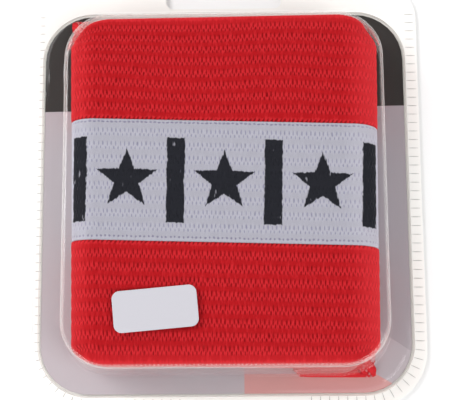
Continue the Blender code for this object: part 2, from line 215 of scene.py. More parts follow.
@dataclass(frozen=True)
class PackPlan:
    """Where the pack's parts lie about the middle of its card."""

    centre: Vector
    card_half: float
    card_span: float
    depth: float
    cloth_top: float
    cloth_under: float
    card_top: float
    sheet_top: float
    label_middle: Vector
    film: float = 0.4 * MM
    gap: float = 0.3 * MM
    panel_width: float = 80.0 * MM
    band_height: float = 92.4 * MM
    # The folded band is wider than its panel at its head and narrower at its foot, by this share
    head_spread: float = 0.018
    # The front's head edge hangs back from the dome by this much on the left
    head_lag: float = 1.0 * MM
    # Where the cloth starts to be drawn out to the dome, and over what run, as shares of the depth
    taut_rise: tuple[float, float] = (0.35, 0.4)
    # One part in so many of the band's height gives way at each end
    end_parts: float = 9.0
    foot_room: float = 0.2 * MM
    dome_corner: float = 12.0 * MM
    dome_draft: float = 1.2 * MM
    dome_edge: float = 1.6 * MM
    dome_foot: float = 0.8 * MM
    card_side: float = 6.9 * MM
    card_head: float = 3.7 * MM
    card_toe: float = 5.9 * MM
    card_corner: float = 12.8 * MM
    card_step: float = 0.25 * MM
    crimp_left: float = 1.9 * MM
    crimp_right: float = 3.9 * MM
    crimp_toe: float = 3.5 * MM
    shelf_share: float = 0.72
    shoulder_rise: float = 8.2 * MM
    shoulder_radius: float = 9.0 * MM
    tab_width: float = 56.0 * MM
    tab_rise: float = 9.0 * MM
    tab_radius: float = 6.0 * MM
    slot_width: float = 31.5 * MM
    slot_height: float = 5.6 * MM
    slot_radius: float = 2.0 * MM
    slot_rise: float = 2.1 * MM
    lobe_width: float = 10.0 * MM
    lobe_height: float = 4.0 * MM
    corner_lift: float = 1.3 * MM
    lift_rate: float = 2.2
    # The cloth comes off the dome's wall above this share of the lift, and at this rate
    loose_from: float = 0.85
    loose_rate: float = 8.0
    # Side, end, reach of the lift in X and Y as shares of the panel, pull on the cloth in X and Y
    caught_corners: tuple[tuple[float, ...], ...] = (
        (1, -1, 0.50, 0.22, 0.032, -0.014),
        (-1, 1, 0.30, 0.26, -0.048, 0.002),
    )

    @classmethod
    def from_frame(cls) -> "PackPlan":
        """Read the plan's driving sizes from the boxes of the frame's nodes.

        Returns:
            The plan.
        """
        card_low, card_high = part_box("backing_card")
        cloth_low, cloth_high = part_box("red_band_lower")
        label_low, label_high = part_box("size_label")
        middle = (card_low + card_high) / 2
        return cls(
            centre=Vector((middle.x, middle.y, 0.0)),
            card_half=(card_high.x - card_low.x) / 2,
            card_span=card_high.y - card_low.y,
            depth=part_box("blister")[1].z,
            cloth_top=cloth_high.z,
            cloth_under=cloth_low.z,
            card_top=card_high.z,
            sheet_top=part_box("back_sheet")[1].z,
            label_middle=(label_low + label_high) / 2,
        )

    @property
    def dome_half(self) -> float:
        """Half the width of the dome's face."""
        return self.card_half - self.card_side

    @property
    def dome_top(self) -> float:
        """The head of the dome's face."""
        return self.card_span / 2 - self.card_head

    @property
    def dome_toe(self) -> float:
        """The foot of the dome's face."""
        return self.card_toe - self.card_span / 2

    @property
    def band_middle(self) -> float:
        """The middle of the band's height."""
        return self.dome_toe + self.film + self.foot_room + self.band_height / 2

    @property
    def flange_low(self) -> float:
        """The height of the flange's underside over the card."""
        return self.card_top + self.gap

    @property
    def seal_low(self) -> float:
        """The height of the film's underside along the crimped margin."""
        return self.sheet_top + self.gap

    @property
    def lift(self) -> float:
        """How far a caught corner of the cloth lifts the flange."""
        return self.corner_lift + self.gap

    def rounded(self, half: float, low: float, high: float, radius: float, steps: int) -> np.ndarray:
        """Return a rounded rectangle, anticlockwise, with evenly split sides.

        Args:
            half: Half its width.
            low: Its lower side.
            high: Its upper side.
            radius: Its corners' radius.
            steps: How many chords each corner and each side has.

        Returns:
            One row of X and Y for each point.
        """
        corners = (
            turn_arc(half - radius, high - radius, radius, 0, 90, steps),
            turn_arc(radius - half, high - radius, radius, 90, 180, steps),
            turn_arc(radius - half, low + radius, radius, 180, 270, steps),
            turn_arc(half - radius, low + radius, radius, 270, 360, steps),
        )
        points = []
        for here, after in zip(corners, corners[1:] + corners[:1], strict=True):
            share = np.linspace(0.0, 1.0, steps + 1)[1:-1, None]
            points += [here, here[-1] + (after[0] - here[-1]) * share]
        return np.concatenate(points)

    def dome_outline(self, grow: float, steps: int) -> np.ndarray:
        """Return the dome's outline, grown outwards from its face."""
        return self.rounded(
            self.dome_half + grow, self.dome_toe - grow, self.dome_top + grow, self.dome_corner + grow, steps
        )

    def card_outline(self, grow: float, steps: int) -> np.ndarray:
        """Return the card's outline, grown outwards."""
        half_span = self.card_span / 2 + grow
        return self.rounded(self.card_half + grow, -half_span, half_span, self.card_corner + grow, steps)

    def pack_outline(self, steps: int) -> np.ndarray:
        """Return the outline of margin and hang tab, anticlockwise from the lower right corner.

        Args:
            steps: How many chords each bend has.

        Returns:
            One row of X and Y for each point.
        """
        right = self.card_half + self.crimp_right
        left = -self.card_half - self.crimp_left
        toe = -self.card_span / 2 - self.crimp_toe
        shoulder = self.card_span / 2 + self.shoulder_rise
        top = shoulder + self.tab_rise
        turn = self.card_corner + self.crimp_left
        tab = self.tab_width / 2
        hollow = self.tab_rise - self.tab_radius
        bend, inset = self.shoulder_radius, self.tab_radius
        return np.concatenate((
            turn_arc(right - turn, toe + turn, turn, -90, 0, steps),
            turn_arc(right - bend, shoulder - bend, bend, 0, 90, steps),
            turn_arc(tab + hollow, shoulder + hollow, hollow, 270, 180, steps),
            turn_arc(tab - inset, top - inset, inset, 0, 90, steps)[1:],
            turn_arc(inset - tab, top - inset, inset, 90, 180, steps),
            turn_arc(-tab - hollow, shoulder + hollow, hollow, 0, -90, steps)[1:],
            turn_arc(left + bend, shoulder - bend, bend, 90, 180, steps),
            turn_arc(left + turn, toe + turn, turn, 180, 270, steps),
        ))

    def slot_outline(self, steps: int) -> np.ndarray:
        """Return the outline of the hang slot, a bar with a lobe on top, anticlockwise.

        Args:
            steps: How many chords each bend has.

        Returns:
            One row of X and Y for each point.
        """
        low = self.card_span / 2 + self.slot_rise
        high = low + self.slot_height
        half, lobe, turn = self.slot_width / 2, self.lobe_width / 2, self.slot_radius
        crown = high + self.lobe_height - turn
        return np.concatenate((
            turn_arc(half - turn, low + turn, turn, -90, 0, steps),
            turn_arc(half - turn, high - turn, turn, 0, 90, steps),
            [[lobe, high]],
            turn_arc(lobe - turn, crown, turn, 0, 90, steps),
            turn_arc(turn - lobe, crown, turn, 90, 180, steps),
            [[-lobe, high]],
            turn_arc(turn - half, high - turn, turn, 90, 180, steps),
            turn_arc(turn - half, low + turn, turn, 180, 270, steps),
        ))

    def lift_share(self, x: np.ndarray, y: np.ndarray) -> np.ndarray:
        """Return how far the flange is lifted at some points.

        Args:
            x: X of the points.
            y: Y of the points.

        Returns:
            The share of the full lift at each point, from 0 to 1.
        """
        share = np.zeros(np.broadcast(x, y).shape)
        for side, end, reach_x, reach_y, _, _ in self.caught_corners:
            corner_y = self.dome_top if end > 0 else self.dome_toe
            across = (x - side * self.dome_half) / (reach_x * self.panel_width)
            along = (y - corner_y) / (reach_y * self.band_height)
            share = np.maximum(share, smoothstep(self.lift_rate * (1.0 - np.hypot(across, along))))
        return share

    def settle(self, x: np.ndarray, y: np.ndarray, z: np.ndarray, slip: np.ndarray) -> np.ndarray:
        """Press points of the cloth into the dome, unless they lie below the lifted flange.

        Args:
            x: X of the loose cloth.
            y: Y of the loose cloth.
            z: Z of the loose cloth.
            slip: How far the askew fold moves the cloth along Y.

        Returns:
            The points as rows of X, Y and Z.
        """
        pressed = self.press(x, y, z, slip)
        share = self.lift_share(x, y)
        below = self.flange_low + self.lift * share - self.gap / 2 - z
        apart = smoothstep(self.loose_rate * (share - self.loose_from))
        free = smoothstep(below / (self.gap / 2)) * apart
        loose_x, loose_y = x.copy(), y.copy()
        for side, end, reach_x, reach_y, pull_x, pull_y in self.caught_corners:
            across = (x * side / self.panel_width - 0.5) / reach_x
            along = ((y - self.band_middle) * end / self.band_height - 0.5) / reach_y
            near = smoothstep(1.0 - np.hypot(across, along))
            loose_x += pull_x * self.panel_width * near
            loose_y += pull_y * self.band_height * near
        loose = np.stack((loose_x, loose_y, z), axis=-1)
        return pressed + (loose - pressed) * free[..., None]

    def press(self, x: np.ndarray, y: np.ndarray, z: np.ndarray, slip: np.ndarray) -> np.ndarray:
        """Press points of the cloth inside the dome's rounded outline at their height.

        Args:
            x: X of the loose cloth.
            y: Y of the loose cloth.
            z: Z of the loose cloth.
            slip: How far the askew fold moves the cloth along Y.

        Returns:
            The points as rows of X, Y and Z.
        """
        room = self.dome_draft * (self.depth - z) / (self.depth - self.flange_low) - self.film - self.gap
        taut = smoothstep((z / self.depth - self.taut_rise[0]) / self.taut_rise[1])
        lag = self.head_lag * np.clip(0.5 - x / self.panel_width, 0.0, 1.0) * taut
        y = self.squeeze_end(y, self.dome_top + room - lag, slip, taut, 1.0)
        y = self.squeeze_end(y, self.dome_toe - room, slip, taut, -1.0)
        upper = y > self.band_middle
        side = np.where(x < 0.0, -1.0, 1.0)
        cx = side * (self.dome_half - self.dome_corner)
        cy = np.where(upper, self.dome_top - self.dome_corner, self.dome_toe + self.dome_corner)
        across = (x - cx) * side
        along = (y - cy) * np.where(upper, 1.0, -1.0)
        corner = (across > 0.0) & (along > 0.0)
        # Outside the corners nothing moves, and the stand-in only keeps the division sound
        across = np.where(corner, across, MM)
        along = np.where(corner, along, MM)
        radius = self.dome_corner + room
        half = self.panel_width / 2 * self.spread_at(y)
        fill = np.maximum(across / (half - np.abs(cx)), along / radius)
        shrink = np.minimum(1.0, radius * fill / np.hypot(across, along))
        factor = np.where(corner, 1.0 - (1.0 - shrink) * fill * fill, 1.0)
        return np.stack((cx + (x - cx) * factor, cy + (y - cy) * factor, z), axis=-1)

    def spread_at(self, y: np.ndarray) -> np.ndarray:
        """Return how wide the folded band is at a height, as a share of its panel."""
        return 1.0 + self.head_spread * (y - self.band_middle) / (self.band_height / 2)

    def squeeze_end(
        self, y: np.ndarray, limit: np.ndarray, slip: np.ndarray, taut: np.ndarray, end: float
    ) -> np.ndarray:
        """Move the last ribs of the band so that its edge keeps to a limit.

        Args:
            y: Y of the cloth.
            limit: Y of the dome's inner face.
            slip: How far the askew fold moves the cloth along Y.
            taut: How far the cloth is also drawn out to the limit, from 0 to 1.
            end: 1 at the head and -1 at the foot.

        Returns:
            The moved Y.
        """
        run = self.band_height / self.end_parts
        edge = self.band_middle + end * self.band_height / 2 - slip
        over = (edge - limit) * end
        over = np.where(over > 0.0, over, over * taut)
        depth = (y - (edge - end * (run + over))) * end
        return np.where(depth > 0.0, y - end * over * depth / (run + over), y)


@dataclass(frozen=True)
class LoopFold:
    """The loop of elastic laid flat, with both ends of the flat loop turned behind it."""

    plan: PackPlan
    wall: float = 1.3 * MM
    flap_length: float = 14.0 * MM
    layer_gap: float = 0.5 * MM
    rear_level: float = 0.52
    rear_slope_share: float = 0.25
    stitch: float = 1.105 * MM
    stripe_slope: float = math.radians(1.7)
    fine_steps: int = 4
    line_step: float = 0.05 * MM
    sag_steps: int = 200

    def half_line(self) -> np.ndarray:
        """Return the mid line from the front's middle round the right side to the rear's middle.

        Returns:
            Rows of X, Z, the outward normal's X and Z, and the distance walked.
        """
        plan = self.plan
        middle = (plan.cloth_top + plan.cloth_under) / 2
        outer = (plan.cloth_top - plan.cloth_under - self.wall) / 2
        inner = outer - self.wall - self.layer_gap
        tip = (self.wall + self.layer_gap) / 2
        straight = plan.panel_width / 2 - outer - self.wall / 2
        flap_end = straight - self.flap_length
        drop = 2.0 * inner * (1.0 - self.rear_level)
        run = 2.0 * straight * self.rear_slope_share
        sag = np.linspace(0.0, 1.0, self.sag_steps)
        # The rear layer sags along a smoothstep, and this is its slope
        fall = drop * 6.0 * sag * (1.0 - sag) / run
        length = np.hypot(1.0, fall)
        sagging = np.stack((
            straight - run * sag, middle + inner - drop * smoothstep(sag), fall / length, -1.0 / length,
        ), axis=1)
        rows = np.concatenate((
            self.run_line(0.0, straight, middle + outer, 1.0),
            self.run_bend(straight, middle, outer, 90, -90, 1.0),
            self.run_line(straight, flap_end, middle - outer, -1.0),
            self.run_bend(flap_end, middle - outer + tip, tip, -90, -270, 1.0),
            self.run_line(flap_end, straight, middle - inner, 1.0),
            self.run_bend(straight, middle, inner, -90, 90, -1.0),
            sagging,
            self.run_line(straight - run, 0.0, middle + inner - drop, -1.0),
        ))
        moved = np.hypot(np.diff(rows[:, 0]), np.diff(rows[:, 1]))
        keep = np.concatenate(([True], moved > 1e-9))
        walked = np.concatenate(([0.0], np.cumsum(moved)))
        return np.column_stack((rows, walked))[keep]

    def run_line(self, start: float, end: float, z: float, face: float) -> np.ndarray:
        """Return a level stretch of the line, which faces up or down."""
        x = np.linspace(start, end, max(2, round(abs(end - start) / self.line_step)))
        return np.stack((x, np.full_like(x, z), np.zeros_like(x), np.full_like(x, face)), axis=1)

    def run_bend(
        self, cx: float, cz: float, radius: float, start: float, end: float, face: float
    ) -> np.ndarray:
        """Return a bend of the line.

        Args:
            cx: The centre's X.
            cz: The centre's Z.
            radius: The bend's radius.
            start: The first angle, in degrees.
            end: The last angle, in degrees.
            face: 1 where the cloth faces away from the centre and -1 where it faces it.

        Returns:
            Rows of X, Z and the outward normal's X and Z.
        """
        count = max(8, round(radius * math.radians(abs(end - start)) / self.line_step))
        angle = np.radians(np.linspace(start, end, count))
        across, up = np.cos(angle), np.sin(angle)
        return np.stack((cx + radius * across, cz + radius * up, face * across, face * up), axis=1)

    def stations(self) -> tuple[np.ndarray, np.ndarray]:
        """Return the whole closed line from the rear's middle over the front and back to it.

        Returns:
            Rows of X, Z, normal X and normal Z, and the place of each along the loop in stitches.
            The place has one value more, because the line closes on its first point.
        """
        half = self.half_line()
        total = half[-1, 4]
        pitch = total / round(total / self.stitch)
        fine_end = pitch * math.ceil((0.5 * total - self.flap_length) / pitch)
        fine = np.arange(0.0, fine_end, pitch / self.fine_steps)
        coarse = np.linspace(fine_end, total, round((total - fine_end) / pitch) + 1)
        walked = np.concatenate((fine, coarse))
        right = np.stack([np.interp(walked, half[:, 4], half[:, index]) for index in range(4)], axis=1)
        left = right[:0:-1] * np.array((-1.0, 1.0, -1.0, 1.0))
        rows = np.concatenate((left, right))
        places = np.concatenate((-walked[:0:-1], walked)) / pitch
        return rows[:-1], places

    def slip(self, places: np.ndarray) -> np.ndarray:
        """Return how far the askew fold moves the cloth along Y at each place."""
        total = places[-1]
        flat = np.where(np.abs(places) <= total / 2, places, np.sign(places) * (total - np.abs(places)))
        return flat * self.stitch * math.tan(self.stripe_slope)


@dataclass(frozen=True)
class ElasticKnit:
    """Ribbed elastic knitted from textured polyester over rubber.

    Each rib is a smooth roll of long floats. Between two ribs runs a row of long slits and, half a
    stitch aside, a row of short ones, with bright loops fanned out between them. The shade in the
    slits and in the marks beside another colour is painted dark into the yarn's colour. The yarn is
    matt with a faint sheen, and a painted sheen makes it paler towards its folds and borders.
    """

    name: str
    roll: str
    loop: str
    # The slit colour is painted shade in the slits, and the edge colour painted shade in the border's marks
    slit: str
    edge: str
    # The taut colour is a painted sheen, mixed in towards the folds and borders
    taut: str
    ends: WhiteEdge
    ribs: int = 9
    # Half widths are in stitches, half heights and places in ribs
    slit_half: tuple[float, float] = (0.19, 0.24)
    slit_place: float = 0.15
    dot_half: tuple[float, float] = (0.17, 0.18)
    dot_place: float = -0.17
    # Where a slit's painted shade is full and where it ends, in the slit's own half sizes
    slit_fade: tuple[float, float] = (0.50, 1.35)
    # How far the stitches drift off their rows, in stitches and in ribs
    drift: tuple[float, float] = (0.25, 0.07)
    drift_scale: float = 0.9
    uneven_scale: float = 1.7
    least_dark: float = 0.70
    crest: tuple[float, float] = (0.12, 0.42)
    floats: tuple[float, float, float] = (2.1, 1.3, 0.0)
    relief: float = 0.35
    depth: float = 0.16 * MM
    # The slits end between these distances from the section's ends, in ribs
    plain_end: tuple[float, float] = (0.6, 0.5)
    # The slanted notches of painted shade beside the white, then the strip's own two rows
    notch_half: tuple[float, float] = (0.24, 0.22)
    notch_slant: float = 1.3
    notch_fade: tuple[float, float] = (0.6, 1.5)
    head_half: tuple[float, float] = (0.36, 0.07)
    head_place: float = 0.22
    foot_half: tuple[float, float] = (0.24, 0.08)
    foot_place: float = 0.30
    row_fade: tuple[float, float] = (0.5, 1.4)
    border_shade: float = 0.9
    roughness: float = 0.82
    # The middle and half sizes of the field in which the yarn keeps its own colour, and where in it the
    # painted sheen starts and is full
    middle: tuple[float, float, float] = (-2.5 * MM, -5.4 * MM, 0.0)
    reach: tuple[float, float, float] = (41.0 * MM, 52.0 * MM, 1.0)
    sheen_from: tuple[float, float] = (0.76, 1.04)
    sheen_share: float = 0.50
    ink: "ScreenInk | None" = None

    def build(self) -> bpy.types.Material:
        """Make the material, which reads its pattern from the courses map.

        Returns:
            The new material.
        """
        material, tree, output = new_material(self.name)
        kind = "ShaderNodeMath"
        uv = add_node(tree, "ShaderNodeUVMap", {"uv_map": COURSES})
        moved = self.drifted(tree, uv)
        part = add_node(tree, "ShaderNodeSeparateXYZ", None, {0: moved})
        along, across = part.outputs[0], part.outputs[1]
        valley = add_node(tree, kind, {"operation": "WRAP"}, {0: across, 1: 0.5, 2: -0.5})
        hole = self.slits(tree, uv, part, valley)
        border = self.border(tree, along, across)
        stretched = add_node(
            tree, "ShaderNodeVectorMath", {"operation": "MULTIPLY"}, {0: uv, 1: self.floats}
        )
        floats = add_node(
            tree, "ShaderNodeTexNoise", {"noise_dimensions": "2D"},
            {"Vector": stretched, "Scale": 1.0, "Detail": 3.0},
        )
        colour = self.rolls(tree, valley, floats)
        # The slits and the border's marks are painted shade, mixed into the yarn's colour
        for share, code in ((hole, self.slit), (border, self.edge)):
            colour = add_node(
                tree, "ShaderNodeMix", {"data_type": "RGBA"}, {0: share, 6: colour, 7: linear(code)}
            ).outputs[2]
        colour = self.paint_edge_sheen(tree, colour)
        hole = add_node(tree, kind, {"operation": "MAXIMUM"}, {0: hole, 1: border})
        if self.ink is not None:
            colour = self.ink.cover(tree, uv, moved, colour, self.ribs)

        relief = add_node(tree, kind, {"operation": "MULTIPLY"}, {0: floats, 1: self.relief})
        height = add_node(tree, kind, {"operation": "SUBTRACT"}, {0: relief, 1: hole})
        bump = add_node(
            tree, "ShaderNodeBump", None, {"Strength": 0.55, "Distance": self.depth, "Height": height}
        )
        shader = add_node(
            tree, "ShaderNodeBsdfPrincipled", None,
            {"Base Color": colour, "Roughness": self.roughness, "Normal": bump,
             "Sheen Weight": 0.30, "Sheen Roughness": 0.30, "Sheen Tint": linear(self.loop),
             "Specular IOR Level": 0.10},
        )
        tree.links.new(shader.outputs[0], output.inputs["Surface"])
        return material

    def drifted(self, tree: bpy.types.NodeTree, uv: bpy.types.Node) -> bpy.types.Node:
        """Let the stitches drift a little off their rows.

        Args:
            tree: The material's tree.
            uv: The courses map.

        Returns:
            The same map with the drift added.
        """
        drift = add_node(
            tree, "ShaderNodeTexNoise", {"noise_dimensions": "2D"}, {"Vector": uv, "Scale": self.drift_scale}
        )
        shift = add_node(
            tree, "ShaderNodeVectorMath", {"operation": "MULTIPLY_ADD"},
            {0: drift.outputs["Color"], 1: (2.0 * self.drift[0], 2.0 * self.drift[1], 0.0),
             2: (-self.drift[0], -self.drift[1], 0.0)},
        )
        return add_node(tree, "ShaderNodeVectorMath", {"operation": "ADD"}, {0: uv, 1: shift})

    def slits(
        self, tree: bpy.types.NodeTree, uv: bpy.types.Node, part: bpy.types.Node, valley: bpy.types.Node
    ) -> bpy.types.Node:
        """Draw both rows of slits as painted shade, unevenly dark, except in the section's two end valleys.

        Args:
            tree: The material's tree.
            uv: The courses map.
            part: The place along the loop in stitches and across the section in ribs.
            valley: The place across the valley between two ribs, in ribs.

        Returns:
            A node that gives how deep the knit gapes, which darkens the colour as painted shade and dents the
            bump.
        """
        kind = "ShaderNodeMath"
        slit = self.opening(tree, part.outputs[0], valley, 0.0, self.slit_half, self.slit_place)
        dot = self.opening(tree, part.outputs[0], valley, 0.5, self.dot_half, self.dot_place)
        nearest = add_node(tree, kind, {"operation": "MINIMUM"}, {0: slit, 1: dot})
        gape = add_node(
            tree, "ShaderNodeMapRange", {"interpolation_type": "SMOOTHSTEP"},
            {"Value": nearest, "From Min": self.slit_fade[0], "From Max": self.slit_fade[1],
             "To Min": 1.0, "To Max": 0.0},
        )
        uneven = add_node(
            tree, "ShaderNodeTexNoise", {"noise_dimensions": "2D"}, {"Vector": uv, "Scale": self.uneven_scale}
        )
        strength = add_node(
            tree, "ShaderNodeMapRange", None,
            {"Value": uneven, "From Min": 0.3, "From Max": 0.7, "To Min": self.least_dark, "To Max": 1.0},
        )
        hole = add_node(tree, kind, {"operation": "MULTIPLY"}, {0: gape, 1: strength})
        inside = self.inside(tree, part.outputs[1])
        return add_node(tree, kind, {"operation": "MULTIPLY"}, {0: hole, 1: inside})

    def rolls(
        self, tree: bpy.types.NodeTree, valley: bpy.types.Node, floats: bpy.types.Node
    ) -> bpy.types.NodeSocket:
        """Colour the rolls darker than the loops between them, with streaks along the floats.

        Args:
            tree: The material's tree.
            valley: The place across the valley between two ribs, in ribs.
            floats: The floats' own unevenness.

        Returns:
            The yarn's colour.
        """
        kind = "ShaderNodeMath"
        away = add_node(tree, kind, {"operation": "ABSOLUTE"}, {0: valley})
        crest = add_node(
            tree, "ShaderNodeMapRange", {"interpolation_type": "SMOOTHSTEP"},
            {"Value": away, "From Min": self.crest[0], "From Max": self.crest[1],
             "To Min": 0.0, "To Max": 1.0},
        )
        streak = add_node(
            tree, "ShaderNodeMapRange", None,
            {"Value": floats, "From Min": 0.3, "From Max": 0.7, "To Min": -0.5, "To Max": 0.5},
        )
        tone = add_node(tree, kind, {"operation": "ADD", "use_clamp": True}, {0: crest, 1: streak})
        return add_node(
            tree, "ShaderNodeMix", {"data_type": "RGBA"},
            {0: tone, 6: linear(self.loop), 7: linear(self.roll)},
        ).outputs[2]

    def opening(
        self,
        tree: bpy.types.NodeTree,
        along: bpy.types.NodeSocket,
        valley: bpy.types.Node | bpy.types.NodeSocket,
        phase: float,
        half: tuple[float, float],
        place: float,
    ) -> bpy.types.NodeSocket:
        """Measure the distance from a row of slits, in their own half sizes.

        Args:
            tree: The material's tree.
            along: The place along the loop, in stitches.
            valley: The place across the valley between two ribs, in ribs.
            phase: Where in a stitch the slits lie.
            half: Half of a slit's width in stitches and of its height in ribs.
            place: How far above the valley the row runs, in ribs.

        Returns:
            A value that is 1 on the slits' outline.
        """
        shifted = add_node(tree, "ShaderNodeMath", {"operation": "ADD"}, {0: along, 1: phase})
        nearest = add_node(tree, "ShaderNodeMath", {"operation": "WRAP"}, {0: shifted, 1: 0.5, 2: -0.5})
        wide = add_node(tree, "ShaderNodeMath", {"operation": "DIVIDE"}, {0: nearest, 1: half[0]})
        lifted = add_node(tree, "ShaderNodeMath", {"operation": "SUBTRACT"}, {0: valley, 1: place})
        tall = add_node(tree, "ShaderNodeMath", {"operation": "DIVIDE"}, {0: lifted, 1: half[1]})
        point = add_node(tree, "ShaderNodeCombineXYZ", None, {0: wide, 1: tall})
        distance = add_node(tree, "ShaderNodeVectorMath", {"operation": "LENGTH"}, {0: point})
        return distance.outputs["Value"]

    def paint_edge_sheen(self, tree: bpy.types.NodeTree, colour: bpy.types.NodeSocket) -> bpy.types.NodeSocket:
        """Paint the yarn paler towards the folds and borders, as a painted sheen where the cloth turns to the
        light.

        Args:
            tree: The material's tree.
            colour: The yarn's colour under the painted sheen.

        Returns:
            The colour with the painted sheen mixed in.
        """
        place = add_node(tree, "ShaderNodeTexCoord").outputs["Object"]
        offset = add_node(tree, "ShaderNodeVectorMath", {"operation": "SUBTRACT"}, {0: place, 1: self.middle})
        share = add_node(tree, "ShaderNodeVectorMath", {"operation": "DIVIDE"}, {0: offset, 1: self.reach})
        share = add_node(tree, "ShaderNodeVectorMath", {"operation": "ABSOLUTE"}, {0: share})
        part = add_node(tree, "ShaderNodeSeparateXYZ", None, {0: share})
        outward = add_node(
            tree, "ShaderNodeMath", {"operation": "MAXIMUM"}, {0: part.outputs[0], 1: part.outputs[1]}
        )
        # How much of the painted sheen is mixed in
        taut = add_node(
            tree, "ShaderNodeMapRange", {"interpolation_type": "SMOOTHSTEP"},
            {"Value": outward, "From Min": self.sheen_from[0], "From Max": self.sheen_from[1],
             "To Min": 0.0, "To Max": self.sheen_share},
        )
        return add_node(
            tree, "ShaderNodeMix", {"data_type": "RGBA"}, {0: taut, 6: colour, 7: linear(self.taut)}
        ).outputs[2]

    def inside(self, tree: bpy.types.NodeTree, across: bpy.types.NodeSocket) -> bpy.types.Node:
        """Mask out the valleys at the section's two ends, which have no slits.

        Args:
            tree: The material's tree.
            across: The place across the section, in ribs.

        Returns:
            A node that gives 1 where there are slits.
        """
        half, (start, stop) = self.ribs / 2, self.plain_end
        middle = add_node(tree, "ShaderNodeMath", {"operation": "SUBTRACT"}, {0: across, 1: half})
        away = add_node(tree, "ShaderNodeMath", {"operation": "ABSOLUTE"}, {0: middle})
        return add_node(
            tree, "ShaderNodeMapRange", None,
            {"Value": away, "From Min": half - start, "From Max": half - stop, "To Min": 1.0, "To Max": 0.0},
        )

    def border(
        self, tree: bpy.types.NodeTree, along: bpy.types.NodeSocket, across: bpy.types.NodeSocket
    ) -> bpy.types.Node:
        """Draw the slanted joining stitches and their notches, as painted shade, beside another colour.

        Args:
            tree: The material's tree.
            along: The place along the loop, in stitches.
            across: The place across the section, in ribs.

        Returns:
            A node that gives how dark the border's painted shade is.
        """
        if self.ends is WhiteEdge.BOTH:
            return self.strip_borders(tree, along, across)
        depth, slope = across, -self.notch_slant
        if self.ends is WhiteEdge.HIGH:
            depth = add_node(
                tree, "ShaderNodeMath", {"operation": "SUBTRACT"}, {0: float(self.ribs), 1: across}
            ).outputs[0]
            slope = self.notch_slant
        slant = add_node(
            tree, "ShaderNodeMath", {"operation": "MULTIPLY_ADD"}, {0: depth, 1: slope, 2: along}
        )
        nearest = add_node(tree, "ShaderNodeMath", {"operation": "WRAP"}, {0: slant, 1: 0.5, 2: -0.5})
        wide = add_node(tree, "ShaderNodeMath", {"operation": "DIVIDE"}, {0: nearest, 1: self.notch_half[0]})
        tall = add_node(tree, "ShaderNodeMath", {"operation": "DIVIDE"}, {0: depth, 1: self.notch_half[1]})
        point = add_node(tree, "ShaderNodeCombineXYZ", None, {0: wide, 1: tall})
        distance = add_node(tree, "ShaderNodeVectorMath", {"operation": "LENGTH"}, {0: point})
        return add_node(
            tree, "ShaderNodeMapRange", {"interpolation_type": "SMOOTHSTEP"},
            {"Value": distance.outputs["Value"], "From Min": self.notch_fade[0],
             "From Max": self.notch_fade[1], "To Min": self.border_shade, "To Max": 0.0},
        )

    def strip_borders(
        self, tree: bpy.types.NodeTree, along: bpy.types.NodeSocket, across: bpy.types.NodeSocket
    ) -> bpy.types.Node:
        """Draw the row of dashes under the strip's head and the row of dots over its foot, as painted shade.

        Args:
            tree: The material's tree.
            along: The place along the loop, in stitches.
            across: The place across the section, in ribs.

        Returns:
            A node that gives how dark the border's painted shade is.
        """
        from_head = add_node(
            tree, "ShaderNodeMath", {"operation": "SUBTRACT"}, {0: float(self.ribs), 1: across}
        )
        dashes = self.opening(tree, along, from_head, 0.0, self.head_half, self.head_place)
        dots = self.opening(tree, along, across, 0.5, self.foot_half, self.foot_place)
        nearest = add_node(tree, "ShaderNodeMath", {"operation": "MINIMUM"}, {0: dashes, 1: dots})
        return add_node(
            tree, "ShaderNodeMapRange", {"interpolation_type": "SMOOTHSTEP"},
            {"Value": nearest, "From Min": self.row_fade[0], "From Max": self.row_fade[1],
             "To Min": self.border_shade, "To Max": 0.0},
        )


